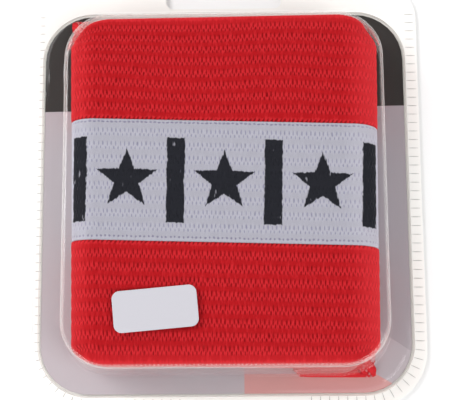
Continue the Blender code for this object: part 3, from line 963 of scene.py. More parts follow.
@dataclass(frozen=True)
class ScreenInk:
    """Black screen ink on the white strip: dull, ragged at its outline and thin in small patches."""

    colour: str = "#1f2026"
    pitch: float = 12.5 * MM
    bar: tuple[float, float] = (4.6 * MM, 22.1 * MM)
    star: float = 8.1 * MM
    points: int = 5
    notch: float = 0.42
    reach: float = 40.2 * MM
    stitch: float = 1.105 * MM
    strip_height: float = 31.7 * MM
    lean: float = math.tan(math.radians(1.2))
    # How far the outline strays, how soft it is, and where the ink thins
    stray: float = 0.3 * MM
    stray_scale: float = 2.6
    fade: float = 0.12 * MM
    speck: tuple[float, float] = (0.22, 0.28)
    speck_scale: float = 0.75
    speck_kept: float = 0.45

    def cover(
        self,
        tree: bpy.types.NodeTree,
        uv: bpy.types.Node,
        moved: bpy.types.Node,
        colour: bpy.types.NodeSocket,
        ribs: int,
    ) -> bpy.types.NodeSocket:
        """Lay a row of bars and stars over the cloth's own colour.

        Args:
            tree: The material's tree.
            uv: The courses map.
            moved: The same map with the stitches' own drift.
            colour: The colour under the ink.
            ribs: How many ribs the strip has.

        Returns:
            The colour with the ink on it.
        """
        kind = "ShaderNodeMath"
        part = add_node(tree, "ShaderNodeSeparateXYZ", None, {0: moved})
        y = add_node(
            tree, kind, {"operation": "MULTIPLY_ADD"},
            {0: part.outputs[1], 1: self.strip_height / ribs, 2: -self.strip_height / 2},
        )
        flat = add_node(tree, kind, {"operation": "MULTIPLY"}, {0: part.outputs[0], 1: self.stitch})
        x = add_node(tree, kind, {"operation": "MULTIPLY_ADD"}, {0: y, 1: -self.lean, 2: flat})
        bar = self.bars(tree, x, y)
        star = self.stars(tree, x, y)
        shape = add_node(tree, kind, {"operation": "MINIMUM"}, {0: bar, 1: star})
        far = add_node(tree, kind, {"operation": "ABSOLUTE"}, {0: x})
        over = add_node(tree, kind, {"operation": "SUBTRACT"}, {0: far, 1: self.reach})
        shape = add_node(tree, kind, {"operation": "MAXIMUM"}, {0: shape, 1: over})
        rough = add_node(
            tree, "ShaderNodeTexNoise", {"noise_dimensions": "2D"}, {"Vector": uv, "Scale": self.stray_scale}
        )
        ragged = add_node(
            tree, kind, {"operation": "MULTIPLY_ADD"}, {0: rough, 1: 2.0 * self.stray, 2: -self.stray}
        )
        edge = add_node(tree, kind, {"operation": "ADD"}, {0: shape, 1: ragged})
        mask = add_node(
            tree, "ShaderNodeMapRange", None,
            {"Value": edge, "From Min": -self.fade, "From Max": self.fade, "To Min": 1.0, "To Max": 0.0},
        )
        speck = add_node(
            tree, "ShaderNodeTexNoise", {"noise_dimensions": "2D"}, {"Vector": uv, "Scale": self.speck_scale}
        )
        kept = add_node(
            tree, "ShaderNodeMapRange", None,
            {"Value": speck, "From Min": self.speck[0], "From Max": self.speck[1],
             "To Min": self.speck_kept, "To Max": 1.0},
        )
        mask = add_node(tree, kind, {"operation": "MULTIPLY"}, {0: mask, 1: kept})
        return add_node(
            tree, "ShaderNodeMix", {"data_type": "RGBA"}, {0: mask, 6: colour, 7: linear(self.colour)}
        ).outputs[2]

    def bars(self, tree: bpy.types.NodeTree, x: bpy.types.Node, y: bpy.types.Node) -> bpy.types.Node:
        """Measure the distance outside the nearest bar.

        Args:
            tree: The material's tree.
            x: The place along the print.
            y: The place up the print.

        Returns:
            A node that gives the distance, below zero inside the bar.
        """
        kind = "ShaderNodeMath"
        half_pitch = add_node(tree, kind, {"operation": "ADD"}, {0: x, 1: self.pitch})
        near = add_node(tree, kind, {"operation": "WRAP"}, {0: half_pitch, 1: self.pitch, 2: -self.pitch})
        wide = add_node(tree, kind, {"operation": "ABSOLUTE"}, {0: near})
        wide = add_node(tree, kind, {"operation": "SUBTRACT"}, {0: wide, 1: self.bar[0] / 2})
        tall = add_node(tree, kind, {"operation": "ABSOLUTE"}, {0: y})
        tall = add_node(tree, kind, {"operation": "SUBTRACT"}, {0: tall, 1: self.bar[1] / 2})
        return add_node(tree, kind, {"operation": "MAXIMUM"}, {0: wide, 1: tall})

    def stars(self, tree: bpy.types.NodeTree, x: bpy.types.Node, y: bpy.types.Node) -> bpy.types.Node:
        """Measure the distance outside the nearest star.

        Args:
            tree: The material's tree.
            x: The place along the print.
            y: The place up the print.

        Returns:
            A node that gives the distance, below zero inside the star.
        """
        kind = "ShaderNodeMath"
        near = add_node(tree, kind, {"operation": "WRAP"}, {0: x, 1: self.pitch, 2: -self.pitch})
        angle = add_node(tree, kind, {"operation": "ARCTAN2"}, {0: near, 1: y})
        sector = math.pi / self.points
        folded = add_node(tree, kind, {"operation": "WRAP"}, {0: angle, 1: sector, 2: -sector})
        folded = add_node(tree, kind, {"operation": "ABSOLUTE"}, {0: folded})
        point = add_node(tree, "ShaderNodeCombineXYZ", None, {0: near, 1: y})
        away = add_node(tree, "ShaderNodeVectorMath", {"operation": "LENGTH"}, {0: point}).outputs["Value"]
        cosine = add_node(tree, kind, {"operation": "COSINE"}, {0: folded})
        sine = add_node(tree, kind, {"operation": "SINE"}, {0: folded})
        out_x = add_node(tree, kind, {"operation": "MULTIPLY"}, {0: away, 1: cosine})
        out_y = add_node(tree, kind, {"operation": "MULTIPLY"}, {0: away, 1: sine})
        inner = Vector((math.cos(sector), math.sin(sector))) * self.star * self.notch
        side = inner - Vector((self.star, 0.0))
        normal = Vector((side.y, -side.x)).normalized()
        along = add_node(tree, kind, {"operation": "MULTIPLY"}, {0: out_x, 1: normal.x})
        along = add_node(tree, kind, {"operation": "MULTIPLY_ADD"}, {0: out_y, 1: normal.y, 2: along})
        return add_node(tree, kind, {"operation": "SUBTRACT"}, {0: along, 1: normal.x * self.star})


@dataclass(frozen=True)
class FilmSpot:
    """What the film's shader reads at the spot that it shades.

    Attributes:
        place: The spot in the frame's axes.
        part: The same as X, Y and Z.
        normal: The surface's normal as X, Y and Z.
        entering: 1 where light enters the film and 0 where it leaves.
        bent: 0 on level film and 1 on upright film.
        bend: The same on the dome, and 0 on the flange.
        on_crown: 0 on the dome's walls and 1 on its rim.
    """

    place: bpy.types.NodeSocket
    part: bpy.types.Node
    normal: bpy.types.Node
    entering: bpy.types.Node
    bent: bpy.types.Node
    bend: bpy.types.Node
    on_crown: bpy.types.Node


@dataclass(frozen=True)
class ClearFilm:
    """Thermoformed clear PET film: it hides little where it is level.

    Where it bends over the dome's rim it is stretched thin and slightly hazy, and a painted highlight
    in that haze makes the rim read as a white line that fades inwards; the lamps and walls mirror in
    it there. The dome's walls stay clear, though a painted reflection makes the head wall pale seen
    from inside and a painted reflection of the red cloth makes the foot wall faintly rosy. The pressed
    margin is frosted, and the small step round the card takes a white painted highlight.
    """

    name: str = "clear_pet_film"
    tint: str = "#ffffff"
    frost_and_highlight: str = "#fffdf9"
    # The foot wall's painted red reflection of the cloth
    red_reflection: str = "#fff0f8"
    roughness: float = 0.06
    ior: float = 1.45
    # How much of a mirror image shows at most, and on level film and the rim
    most_gloss: float = 0.55
    level_gloss: float = 0.20
    edge_gloss: float = 0.16
    # How thick the haze is on the rim, where it is partly a painted highlight, on the walls, and on the head
    # wall, where it is a painted reflection
    rim_haze_and_highlight: float = 0.72
    wall_haze: float = 0.12
    head_reflection: float = 0.80
    haze_power: float = 1.4
    # Y over which the head wall's painted reflection and the foot wall's painted red reflection set in
    head: tuple[float, float] = (37.0 * MM, 41.5 * MM)
    toe: tuple[float, float] = (-52.5 * MM, -54.0 * MM)
    # How much of the haze lets light through on the walls and on the rim
    wall_passes: float = 0.65
    edge_passes: float = 0.35
    # The margin is frosted below the first height, and the step round the card takes a painted highlight
    # below the second
    seal_haze: float = 0.93
    step_highlight: float = 0.95
    seal_top: float = 1.25 * MM
    step_top: float = 1.45 * MM
    # Heights over which the rim and the dome's foot set in
    crown: tuple[float, float] = (14.5 * MM, 15.4 * MM)
    foot: tuple[float, float] = (1.9 * MM, 3.4 * MM)
    ripple: float = 22.0 * MM
    # The bend, 0 on level film and 1 on upright film, from which and to which each look sets in
    shiny: tuple[float, float] = (0.01, 0.07)
    rosy: tuple[float, float] = (0.1, 0.6)
    sharp: tuple[float, float] = (0.08, 0.4)
    steep: tuple[float, float] = (0.0, 0.15)

    def build(self) -> bpy.types.Material:
        """Make the material as a see-through pane under a Fresnel gloss and a haze on its bends.

        Returns:
            The new material.
        """
        material, tree, output = new_material(self.name)
        spot = self.spot(tree)
        film = add_node(
            tree, "ShaderNodeMixShader", None,
            {0: self.thickness(tree, spot), 1: self.pane(tree, spot), 2: self.haze(tree, spot)},
        )
        tree.links.new(film.outputs[0], output.inputs["Surface"])
        return material

    def spot(self, tree: bpy.types.NodeTree) -> FilmSpot:
        """Read where the shaded spot lies and how far the film is bent there.

        Args:
            tree: The material's tree.

        Returns:
            The nodes that every look of the film depends on.
        """
        kind = "ShaderNodeMath"
        place = add_node(tree, "ShaderNodeTexCoord").outputs["Object"]
        part = add_node(tree, "ShaderNodeSeparateXYZ", None, {0: place})
        surface = add_node(tree, "ShaderNodeNewGeometry")
        normal = add_node(tree, "ShaderNodeSeparateXYZ", None, {0: surface.outputs["Normal"]})
        level = add_node(tree, kind, {"operation": "ABSOLUTE"}, {0: normal.outputs[2]})
        bent = add_node(tree, kind, {"operation": "SUBTRACT"}, {0: 1.0, 1: level})
        on_dome = add_node(
            tree, "ShaderNodeMapRange", None,
            {"Value": part.outputs[2], "From Min": self.foot[0], "From Max": self.foot[1],
             "To Min": 0.0, "To Max": 1.0},
        )
        on_crown = add_node(
            tree, "ShaderNodeMapRange", None,
            {"Value": part.outputs[2], "From Min": self.crown[0], "From Max": self.crown[1],
             "To Min": 0.0, "To Max": 1.0},
        )
        bend = add_node(tree, kind, {"operation": "MULTIPLY"}, {0: bent, 1: on_dome})
        entering = add_node(tree, kind, {"operation": "SUBTRACT"}, {0: 1.0, 1: surface.outputs["Backfacing"]})
        return FilmSpot(place, part, normal, entering, bent, bend, on_crown)

    def pane(self, tree: bpy.types.NodeTree, spot: FilmSpot) -> bpy.types.Node:
        """Make the see-through pane, which mirrors the studio and takes a painted red reflection of the cloth
        on the foot wall.

        Args:
            tree: The material's tree.
            spot: The spot that it shades.

        Returns:
            The shader's node.
        """
        kind = "ShaderNodeMath"
        wave = add_node(
            tree, "ShaderNodeTexNoise", None,
            {"Vector": spot.place, "Scale": 1.0 / self.ripple, "Detail": 1.0},
        )
        bump = add_node(
            tree, "ShaderNodeBump", None, {"Strength": 0.25, "Distance": 1.0 * MM, "Height": wave}
        )
        fresnel = add_node(tree, "ShaderNodeFresnel", None, {"IOR": self.ior, "Normal": bump})
        shine = add_node(
            tree, "ShaderNodeMapRange", None,
            {"Value": spot.bend, "From Min": self.shiny[0], "From Max": self.shiny[1],
             "To Min": self.level_gloss, "To Max": 1.0},
        )
        mirror = add_node(tree, kind, {"operation": "MULTIPLY"}, {0: fresnel, 1: shine})
        rim = add_node(tree, kind, {"operation": "MULTIPLY"}, {0: spot.bend, 1: self.edge_gloss})
        rim = add_node(tree, kind, {"operation": "MULTIPLY"}, {0: rim, 1: spot.on_crown})
        mirror = add_node(tree, kind, {"operation": "MAXIMUM"}, {0: mirror, 1: rim})
        mirror = add_node(tree, kind, {"operation": "MINIMUM"}, {0: mirror, 1: self.most_gloss})
        mirror = add_node(tree, kind, {"operation": "MULTIPLY"}, {0: mirror, 1: spot.entering})
        # On the foot wall the pane is tinted with a painted red reflection of the cloth
        rosy = add_node(
            tree, "ShaderNodeMapRange", None,
            {"Value": spot.bend, "From Min": self.rosy[0], "From Max": self.rosy[1],
             "To Min": 0.0, "To Max": 1.0},
        )
        at_toe = add_node(
            tree, "ShaderNodeMapRange", None,
            {"Value": spot.part.outputs[1], "From Min": self.toe[0], "From Max": self.toe[1],
             "To Min": 0.0, "To Max": 1.0},
        )
        rosy = add_node(tree, kind, {"operation": "MULTIPLY"}, {0: rosy, 1: at_toe})
        seen = add_node(
            tree, "ShaderNodeMix", {"data_type": "RGBA"},
            {0: rosy, 6: linear(self.tint), 7: linear(self.red_reflection)},
        ).outputs[2]
        clear = add_node(tree, "ShaderNodeBsdfTransparent", None, {"Color": seen})
        gloss = add_node(
            tree, "ShaderNodeBsdfGlossy", None,
            {"Color": linear("#ffffff"), "Roughness": self.roughness, "Normal": bump},
        )
        return add_node(tree, "ShaderNodeMixShader", None, {0: mirror, 1: clear, 2: gloss})

    def thickness(self, tree: bpy.types.NodeTree, spot: FilmSpot) -> bpy.types.Node:
        """Work out how thick the haze is on the bends, the head wall, the margin and the step.

        Args:
            tree: The material's tree.
            spot: The spot that it shades.

        Returns:
            A node that gives the haze, from 0 to 1.
        """
        kind = "ShaderNodeMath"
        height = spot.part.outputs[2]
        # On the rim the haze is partly the film's own and partly a painted highlight
        white = add_node(
            tree, "ShaderNodeMapRange", None,
            {"Value": spot.on_crown, "To Min": self.wall_haze, "To Max": self.rim_haze_and_highlight},
        )
        early = add_node(tree, kind, {"operation": "POWER"}, {0: spot.bend, 1: self.haze_power})
        thick = add_node(tree, kind, {"operation": "MULTIPLY"}, {0: early, 1: white})
        # Seen from inside, the head wall is hazed pale as a painted reflection of the white studio
        at_head = add_node(
            tree, "ShaderNodeMapRange", None,
            {"Value": spot.part.outputs[1], "From Min": self.head[0], "From Max": self.head[1],
             "To Min": 0.0, "To Max": self.head_reflection},
        )
        at_head = add_node(tree, kind, {"operation": "MULTIPLY"}, {0: spot.bend, 1: at_head})
        inner = add_node(tree, kind, {"operation": "LESS_THAN"}, {0: spot.normal.outputs[1], 1: 0.0})
        inner = add_node(tree, kind, {"operation": "MULTIPLY"}, {0: inner, 1: spot.entering})
        at_head = add_node(tree, kind, {"operation": "MULTIPLY"}, {0: at_head, 1: inner})
        thick = add_node(tree, kind, {"operation": "MAXIMUM"}, {0: thick, 1: at_head})
        sealed = add_node(tree, kind, {"operation": "LESS_THAN"}, {0: height, 1: self.seal_top})
        sealed = add_node(tree, kind, {"operation": "MULTIPLY"}, {0: sealed, 1: self.seal_haze})
        # The step round the card is hazed white as a painted highlight
        stepped = add_node(tree, kind, {"operation": "LESS_THAN"}, {0: height, 1: self.step_top})
        sharp = add_node(
            tree, "ShaderNodeMapRange", None,
            {"Value": spot.bent, "From Min": self.sharp[0], "From Max": self.sharp[1],
             "To Min": 0.0, "To Max": 1.0},
        )
        stepped = add_node(tree, kind, {"operation": "MULTIPLY"}, {0: stepped, 1: sharp})
        stepped = add_node(tree, kind, {"operation": "MULTIPLY"}, {0: stepped, 1: self.step_highlight})
        # The frosted margin and the step's painted highlight, on the side that light enters
        frosted = add_node(tree, kind, {"operation": "MAXIMUM"}, {0: sealed, 1: stepped})
        frosted = add_node(tree, kind, {"operation": "MULTIPLY"}, {0: frosted, 1: spot.entering})
        return add_node(tree, kind, {"operation": "MAXIMUM"}, {0: thick, 1: frosted})

    def haze(self, tree: bpy.types.NodeTree, spot: FilmSpot) -> bpy.types.Node:
        """Make the haze, which is lit from its front where level and also from behind where steep.

        Args:
            tree: The material's tree.
            spot: The spot that it shades.

        Returns:
            The shader's node.
        """
        # The haze's white is frost on the margin, a painted highlight on the rim and the step, and a painted
        # reflection on the head wall
        front = add_node(tree, "ShaderNodeBsdfDiffuse", None, {"Color": linear(self.frost_and_highlight)})
        behind = add_node(tree, "ShaderNodeBsdfTranslucent", None, {"Color": linear(self.frost_and_highlight)})
        passes = add_node(
            tree, "ShaderNodeMapRange", None,
            {"Value": spot.on_crown, "To Min": self.wall_passes, "To Max": self.edge_passes},
        )
        steep = add_node(
            tree, "ShaderNodeMapRange", None,
            {"Value": spot.bent, "From Min": self.steep[0], "From Max": self.steep[1],
             "To Min": 0.0, "To Max": 1.0},
        )
        passes = add_node(tree, "ShaderNodeMath", {"operation": "MULTIPLY"}, {0: passes, 1: steep})
        return add_node(tree, "ShaderNodeMixShader", None, {0: passes, 1: front, 2: behind})


@dataclass(frozen=True)
class PrintedBoard:
    """Coated board printed black over grey, with a darker wedge and a rose one at its foot.

    The ink lies flat and even, and the coat over it gives the board a dull, broad sheen.
    """

    name: str = "printed_board"
    black: str = "#2f2a28"
    grey: str = "#bab1b6"
    shade: str = "#aba2a8"
    rose: str = "#d39a97"
    grey_top: float = 18.1 * MM
    grey_slope: float = 0.010
    facet_from: tuple[float, float] = (42.3 * MM, -44.1 * MM)
    facet_slope: float = -0.67
    facet_reach: float = 6.0 * MM
    rose_top: float = -52.9 * MM
    rose_side: tuple[float, float] = (3.7 * MM, 37.4 * MM)
    rose_slant: float = 1.7
    grain: float = 0.35 * MM

    def build(self) -> bpy.types.Material:
        """Make the material from the card's own place in the frame.

        Returns:
            The new material.
        """
        material, tree, output = new_material(self.name)
        kind = "ShaderNodeMath"
        place = add_node(tree, "ShaderNodeTexCoord").outputs["Object"]
        part = add_node(tree, "ShaderNodeSeparateXYZ", None, {0: place})
        x, y = part.outputs[0], part.outputs[1]
        line = add_node(tree, kind, {"operation": "MULTIPLY_ADD"}, {0: x, 1: -self.grey_slope, 2: y})
        dark = add_node(tree, kind, {"operation": "GREATER_THAN"}, {0: line, 1: self.grey_top})
        facet_line = self.facet_from[1] - self.facet_slope * self.facet_from[0]
        facet = add_node(tree, kind, {"operation": "MULTIPLY_ADD"}, {0: x, 1: -self.facet_slope, 2: y})
        below = add_node(tree, kind, {"operation": "LESS_THAN"}, {0: facet, 1: facet_line})
        colour = add_node(
            tree, "ShaderNodeMix", {"data_type": "RGBA"},
            {0: below, 6: linear(self.shade), 7: linear(self.grey)},
        ).outputs[2]
        right = add_node(
            tree, kind, {"operation": "GREATER_THAN"}, {0: x, 1: self.facet_from[0] - self.facet_reach}
        )
        colour = add_node(
            tree, "ShaderNodeMix", {"data_type": "RGBA"}, {0: right, 6: linear(self.grey), 7: colour}
        ).outputs[2]
        low = add_node(tree, kind, {"operation": "LESS_THAN"}, {0: y, 1: self.rose_top})
        after = add_node(tree, kind, {"operation": "GREATER_THAN"}, {0: x, 1: self.rose_side[0]})
        slanted = add_node(tree, kind, {"operation": "MULTIPLY_ADD"}, {0: y, 1: self.rose_slant, 2: x})
        rose_end = self.rose_side[1] + self.rose_slant * self.rose_top
        before = add_node(tree, kind, {"operation": "LESS_THAN"}, {0: slanted, 1: rose_end})
        patch = add_node(tree, kind, {"operation": "MULTIPLY"}, {0: low, 1: after})
        patch = add_node(tree, kind, {"operation": "MULTIPLY"}, {0: patch, 1: before})
        colour = add_node(
            tree, "ShaderNodeMix", {"data_type": "RGBA"}, {0: patch, 6: colour, 7: linear(self.rose)}
        ).outputs[2]
        colour = add_node(
            tree, "ShaderNodeMix", {"data_type": "RGBA"}, {0: dark, 6: colour, 7: linear(self.black)}
        ).outputs[2]
        fibre = add_node(
            tree, "ShaderNodeTexNoise", None, {"Vector": place, "Scale": 1.0 / self.grain, "Detail": 4.0}
        )
        bump = add_node(
            tree, "ShaderNodeBump", None, {"Strength": 0.12, "Distance": 0.05 * MM, "Height": fibre}
        )
        shader = add_node(
            tree, "ShaderNodeBsdfPrincipled", None,
            {"Base Color": colour, "Roughness": 0.48, "Normal": bump,
             "Coat Weight": 0.2, "Coat Roughness": 0.3},
        )
        tree.links.new(shader.outputs[0], output.inputs["Surface"])
        return material


@dataclass(frozen=True)
class StickerPaper:
    """Smooth white label stock, nearly matt, in which faint fibres change the tone."""

    name: str = "label_stock"
    face: str = "#bcbbc2"
    fibre: str = "#c3c1c8"
    grain: float = 0.25 * MM

    def build(self) -> bpy.types.Material:
        """Make the material with faint paper fibre.

        Returns:
            The new material.
        """
        material, tree, output = new_material(self.name)
        place = add_node(tree, "ShaderNodeTexCoord").outputs["Object"]
        fibre = add_node(
            tree, "ShaderNodeTexNoise", None, {"Vector": place, "Scale": 1.0 / self.grain, "Detail": 5.0}
        )
        tone = add_node(
            tree, "ShaderNodeMix", {"data_type": "RGBA"},
            {0: fibre, 6: linear(self.face), 7: linear(self.fibre)},
        ).outputs[2]
        bump = add_node(
            tree, "ShaderNodeBump", None, {"Strength": 0.1, "Distance": 0.03 * MM, "Height": fibre}
        )
        shader = add_node(
            tree, "ShaderNodeBsdfPrincipled", None, {"Base Color": tone, "Roughness": 0.55, "Normal": bump}
        )
        tree.links.new(shader.outputs[0], output.inputs["Surface"])
        return material


@dataclass
class KnitSection:
    """One colour of the armband: a closed, ribbed wall of cloth round the whole folded loop."""

    name: str
    node: str
    slot: str
    low: float
    high: float
    recess: float
    rib_share: float
    finish: ElasticKnit
    ribs: int = 9
    rib_rows: int = 12
    lining_rows: int = 6
    rib_depth: float = 0.3 * MM
    rib_power: float = 0.75
    strip_recess: float = 0.3 * MM
    slit_depth: float = 0.12 * MM
    # Half sizes of the long and the short slits' dents, in stitches and in ribs
    dent_half: tuple[tuple[float, float], tuple[float, float]] = ((0.24, 0.2), (0.24, 0.15))
    edge_round: float = 0.13 * MM
    fold_ease: float = 0.75
    # The upward normal at which the front's waves set in, and the run to their full depth
    front_turn: tuple[float, float] = (0.1, 0.6)
    band_ribs: int = 27
    # Centre and half width as shares of the panel, dip as a share of a rib's height
    waves: tuple[tuple[float, float, float], ...] = ()

    def build(self, fold: LoopFold) -> bpy.types.Object:
        """Build the section's mesh with its courses map.

        Args:
            fold: The folded loop that the section runs round.

        Returns:
            The dressed piece.
        """
        line, places = fold.stations()
        share, offset, course, outside = self.profile(fold)
        x, z, nx, nz = (line[None, :, index] for index in range(4))
        # The ribs are stretched nearly smooth where the loop is folded
        ease = self.fold_ease * (1.0 - np.abs(nz))
        push = offset[:, None] + self.groove(course[:, None]) * ease * outside[:, None]
        push = push - self.dents(course[:, None], places[None, :-1]) * outside[:, None]
        slip = np.broadcast_to(fold.slip(places)[None, :-1], push.shape)
        px = x + nx * push
        pz = z + nz * push
        py = fold.plan.band_middle + self.low + (self.high - self.low) * share[:, None] - slip
        front = smoothstep((nz - self.front_turn[0]) / self.front_turn[1]) * (z > fold.plan.depth / 2)
        py = py - self.wave_drop(px, share[:, None], fold.plan) * front
        points = fold.plan.settle(px * fold.plan.spread_at(py), py, pz, slip)
        points = points.reshape(-1, 3) + np.array(fold.plan.centre)
        mesh = self.grid(points, course, places, len(share), line.shape[0])
        mesh.shade_smooth()
        return mesh_object(self.name, mesh, [self.finish.build()])

    def profile(self, fold: LoopFold) -> tuple[np.ndarray, np.ndarray, np.ndarray, np.ndarray]:
        """Return the wall's closed profile across the section.

        Args:
            fold: The folded loop, which gives the wall's thickness.

        Returns:
            For each row its share of the section's height, its offset from the mid line, its
            place in ribs, and 1 where it lies on the outer face.
        """
        half = fold.wall / 2
        count = self.ribs * self.rib_rows
        course = np.linspace(0.0, self.ribs, count + 1)
        outer = half - self.recess * self.strip_recess - self.groove(course)
        share = course / self.ribs
        margin = self.edge_round / (self.high - self.low)
        share = np.clip(share, margin, 1.0 - margin)
        top = np.linspace(outer[-1] - self.edge_round, self.edge_round - half, 3)
        inner_course = np.linspace(self.ribs, 0.0, self.lining_rows + 1)
        inner = np.clip(inner_course / self.ribs, margin, 1.0 - margin)
        return (
            np.concatenate((share, np.ones(3), inner, np.zeros(3))),
            np.concatenate((outer, top, np.full(len(inner), -half), top[::-1])),
            np.concatenate((course, np.full(3, float(self.ribs)), inner_course, np.zeros(3))),
            np.concatenate((np.ones(count + 1), np.zeros(len(inner) + 6))),
        )

    def groove(self, course: np.ndarray) -> np.ndarray:
        """Return how deep the valleys between the ribs are at each row."""
        rise = np.abs(np.sin(math.pi * course)) ** self.rib_power
        return self.rib_share * self.rib_depth * (1.0 - rise)

    def dents(self, course: np.ndarray, place: np.ndarray) -> np.ndarray:
        """Return how deep the slits dent the outer face.

        Args:
            course: The place of each row, in ribs.
            place: The place of each column, in stitches.

        Returns:
            The depth at each row and column.
        """
        valley = wrap(course)
        (long_wide, long_tall), (short_wide, short_tall) = self.dent_half
        long_slit = np.hypot(wrap(place) / long_wide, (valley - self.finish.slit_place) / long_tall)
        short_slit = np.hypot(wrap(place + 0.5) / short_wide, (valley - self.finish.dot_place) / short_tall)
        plain = self.finish.plain_end[0]
        ends = (course > plain) & (course < self.ribs - plain)
        return self.slit_depth * smoothstep(1.0 - np.minimum(long_slit, short_slit)) * ends

    def wave_drop(self, x: np.ndarray, share: np.ndarray, plan: PackPlan) -> np.ndarray:
        """Return how far the ribs dip, fading out towards the section's ends.

        Args:
            x: X of the cloth.
            share: The share of the section's height.
            plan: The pack's plan.

        Returns:
            The dip at each point.
        """
        pitch = plan.band_height / self.band_ribs
        drop = np.zeros(np.broadcast(x, share).shape)
        for centre, half_width, depth in self.waves:
            offset = (x / plan.panel_width - centre) / half_width
            drop = drop + depth * pitch * np.exp(-offset * offset)
        return drop * np.sqrt(np.abs(np.sin(math.pi * share)))

    def grid(
        self, points: np.ndarray, course: np.ndarray, places: np.ndarray, rows: int, columns: int
    ) -> bpy.types.Mesh:
        """Join the points into a closed tube and map its courses.

        Args:
            points: The points, row by row.
            course: The place of each row in ribs.
            places: The place of each column in stitches, with the closing one.
            rows: How many rows there are.
            columns: How many columns there are.

        Returns:
            The mesh with its map.
        """
        row, column = np.meshgrid(np.arange(rows), np.arange(columns), indexing="ij")
        after_row, after_column = (row + 1) % rows, (column + 1) % columns
        corners = np.stack((
            row * columns + column, row * columns + after_column,
            after_row * columns + after_column, after_row * columns + column,
        ), axis=-1)
        mesh = bpy.data.meshes.new(self.name)
        mesh.from_pydata(points.tolist(), [], corners.reshape(-1, 4).tolist())
        low, high = course[row], course[after_row]
        left, right = places[column], places[column + 1]
        courses = np.stack((
            np.stack((left, low), -1), np.stack((right, low), -1),
            np.stack((right, high), -1), np.stack((left, high), -1),
        ), axis=2)
        layer = mesh.uv_layers.new(name=COURSES)
        layer.data.foreach_set("uv", courses.astype(np.float32).ravel())
        return mesh

    def flat_size(self, fold: LoopFold) -> tuple[float, float]:
        """Return the section's height and the length of its loop."""
        return self.high - self.low, 2.0 * fold.half_line()[-1, 4]


@dataclass
class FormedFilm:
    """The clear shell over the band: dome, flange, crimped margin and hang tab, in two skins."""

    plan: PackPlan
    finish: bpy.types.Material
    steps: int = 20
    edge_steps: int = 7
    foot_steps: int = 6
    shelf_rows: tuple[float, ...] = (0.25, 0.5, 0.72, 0.82, 0.92)
    sharp_angle: float = math.radians(35.0)

    def rows(self, skin: int) -> list[tuple[float, float, float]]:
        """Return the dome's profile from its face to its foot.

        Args:
            skin: 0 for the outer skin and 1 for the inner one.

        Returns:
            For each row how far it stands outside the face, its height and its share of the lift.
        """
        plan = self.plan
        film = skin * plan.film
        found = []
        for angle in np.radians(np.linspace(0, 90, self.edge_steps + 1)):
            reach = plan.dome_edge - film
            rise = plan.depth - plan.dome_edge + reach * math.cos(angle)
            found.append((reach * math.sin(angle) - plan.dome_edge, rise, 0.0))
        foot_top = plan.flange_low + plan.film
        for angle in np.radians(np.linspace(0, 90, self.foot_steps + 1)):
            reach = plan.dome_foot + film
            out = plan.dome_draft + plan.dome_foot - reach * math.cos(angle)
            found.append((out, foot_top + plan.dome_foot - reach * math.sin(angle), 1.0))
        return found

    def ring(
        self, bm: bmesh.types.BMesh, outline: np.ndarray, height: np.ndarray | float
    ) -> list[bmesh.types.BMVert]:
        """Add the points of one ring.

        Args:
            bm: The mesh that takes them.
            outline: Their X and Y about the card's middle.
            height: Their Z, one for all or one for each.

        Returns:
            The new points.
        """
        centre = self.plan.centre
        places = zip(outline, np.broadcast_to(height, len(outline)), strict=True)
        return [bm.verts.new((x + centre.x, y + centre.y, z)) for (x, y), z in places]

    def skin_rings(self, bm: bmesh.types.BMesh, skin: int) -> list[list[bmesh.types.BMVert]]:
        """Add the rings of one skin from the dome's face out to the crimped margin.

        Args:
            bm: The mesh that takes them.
            skin: 0 for the outer skin and 1 for the inner one.

        Returns:
            The points of each ring.
        """
        plan = self.plan
        film = (1 - skin) * plan.film
        rings = []
        for out, rise, lifted in self.rows(skin):
            outline = plan.dome_outline(out, self.steps)
            lift = plan.lift * plan.lift_share(outline[:, 0], outline[:, 1]) * lifted
            rings.append(self.ring(bm, outline, rise + lift))
        foot = plan.dome_outline(plan.dome_draft + plan.dome_foot, self.steps)
        rim = plan.card_outline(plan.card_step, self.steps)
        lift = plan.lift * plan.lift_share(foot[:, 0], foot[:, 1])
        for share in self.shelf_rows:
            fade = 1.0 - smoothstep(np.array((share - plan.shelf_share) / (1.0 - plan.shelf_share)))
            rings.append(self.ring(bm, foot + (rim - foot) * share, plan.flange_low + film + lift * fade))
        rings.append(self.ring(bm, rim, plan.flange_low + film))
        step = plan.card_outline(2 * plan.card_step + plan.gap, self.steps)
        rings.append(self.ring(bm, step, plan.seal_low + film))
        return rings

    def build(self) -> bpy.types.Object:
        """Build both skins, joined along the pack's outline and the slot's.

        Returns:
            The dressed piece.
        """
        bm = bmesh.new()
        skins = []
        for skin in (0, 1):
            rings = self.skin_rings(bm, skin)
            bm.faces.new(rings[0])
            for here, after in zip(rings, rings[1:]):
                join_rings(bm, here, after)
            height = self.plan.seal_low + (1 - skin) * self.plan.film
            outer = self.ring(bm, self.plan.pack_outline(self.steps), height)
            slot = self.ring(bm, self.plan.slot_outline(self.steps // 2), height)
            edges = []
            for loop in (outer, rings[-1], slot):
                for here, after in zip(loop, loop[1:] + loop[:1]):
                    edges.append(bm.edges.get((here, after)) or bm.edges.new((here, after)))
            bmesh.ops.triangle_fill(bm, use_beauty=True, use_dissolve=False, edges=edges)
            skins.append((outer, slot))
        for here, after in zip(*skins, strict=True):
            join_rings(bm, here, after)
        bmesh.ops.recalc_face_normals(bm, faces=bm.faces)
        mesh = bpy.data.meshes.new("formed_film")
        bm.to_mesh(mesh)
        bm.free()
        mesh.shade_smooth()
        mesh.set_sharp_from_angle(angle=self.sharp_angle)
        return mesh_object("formed_film", mesh, [self.finish])


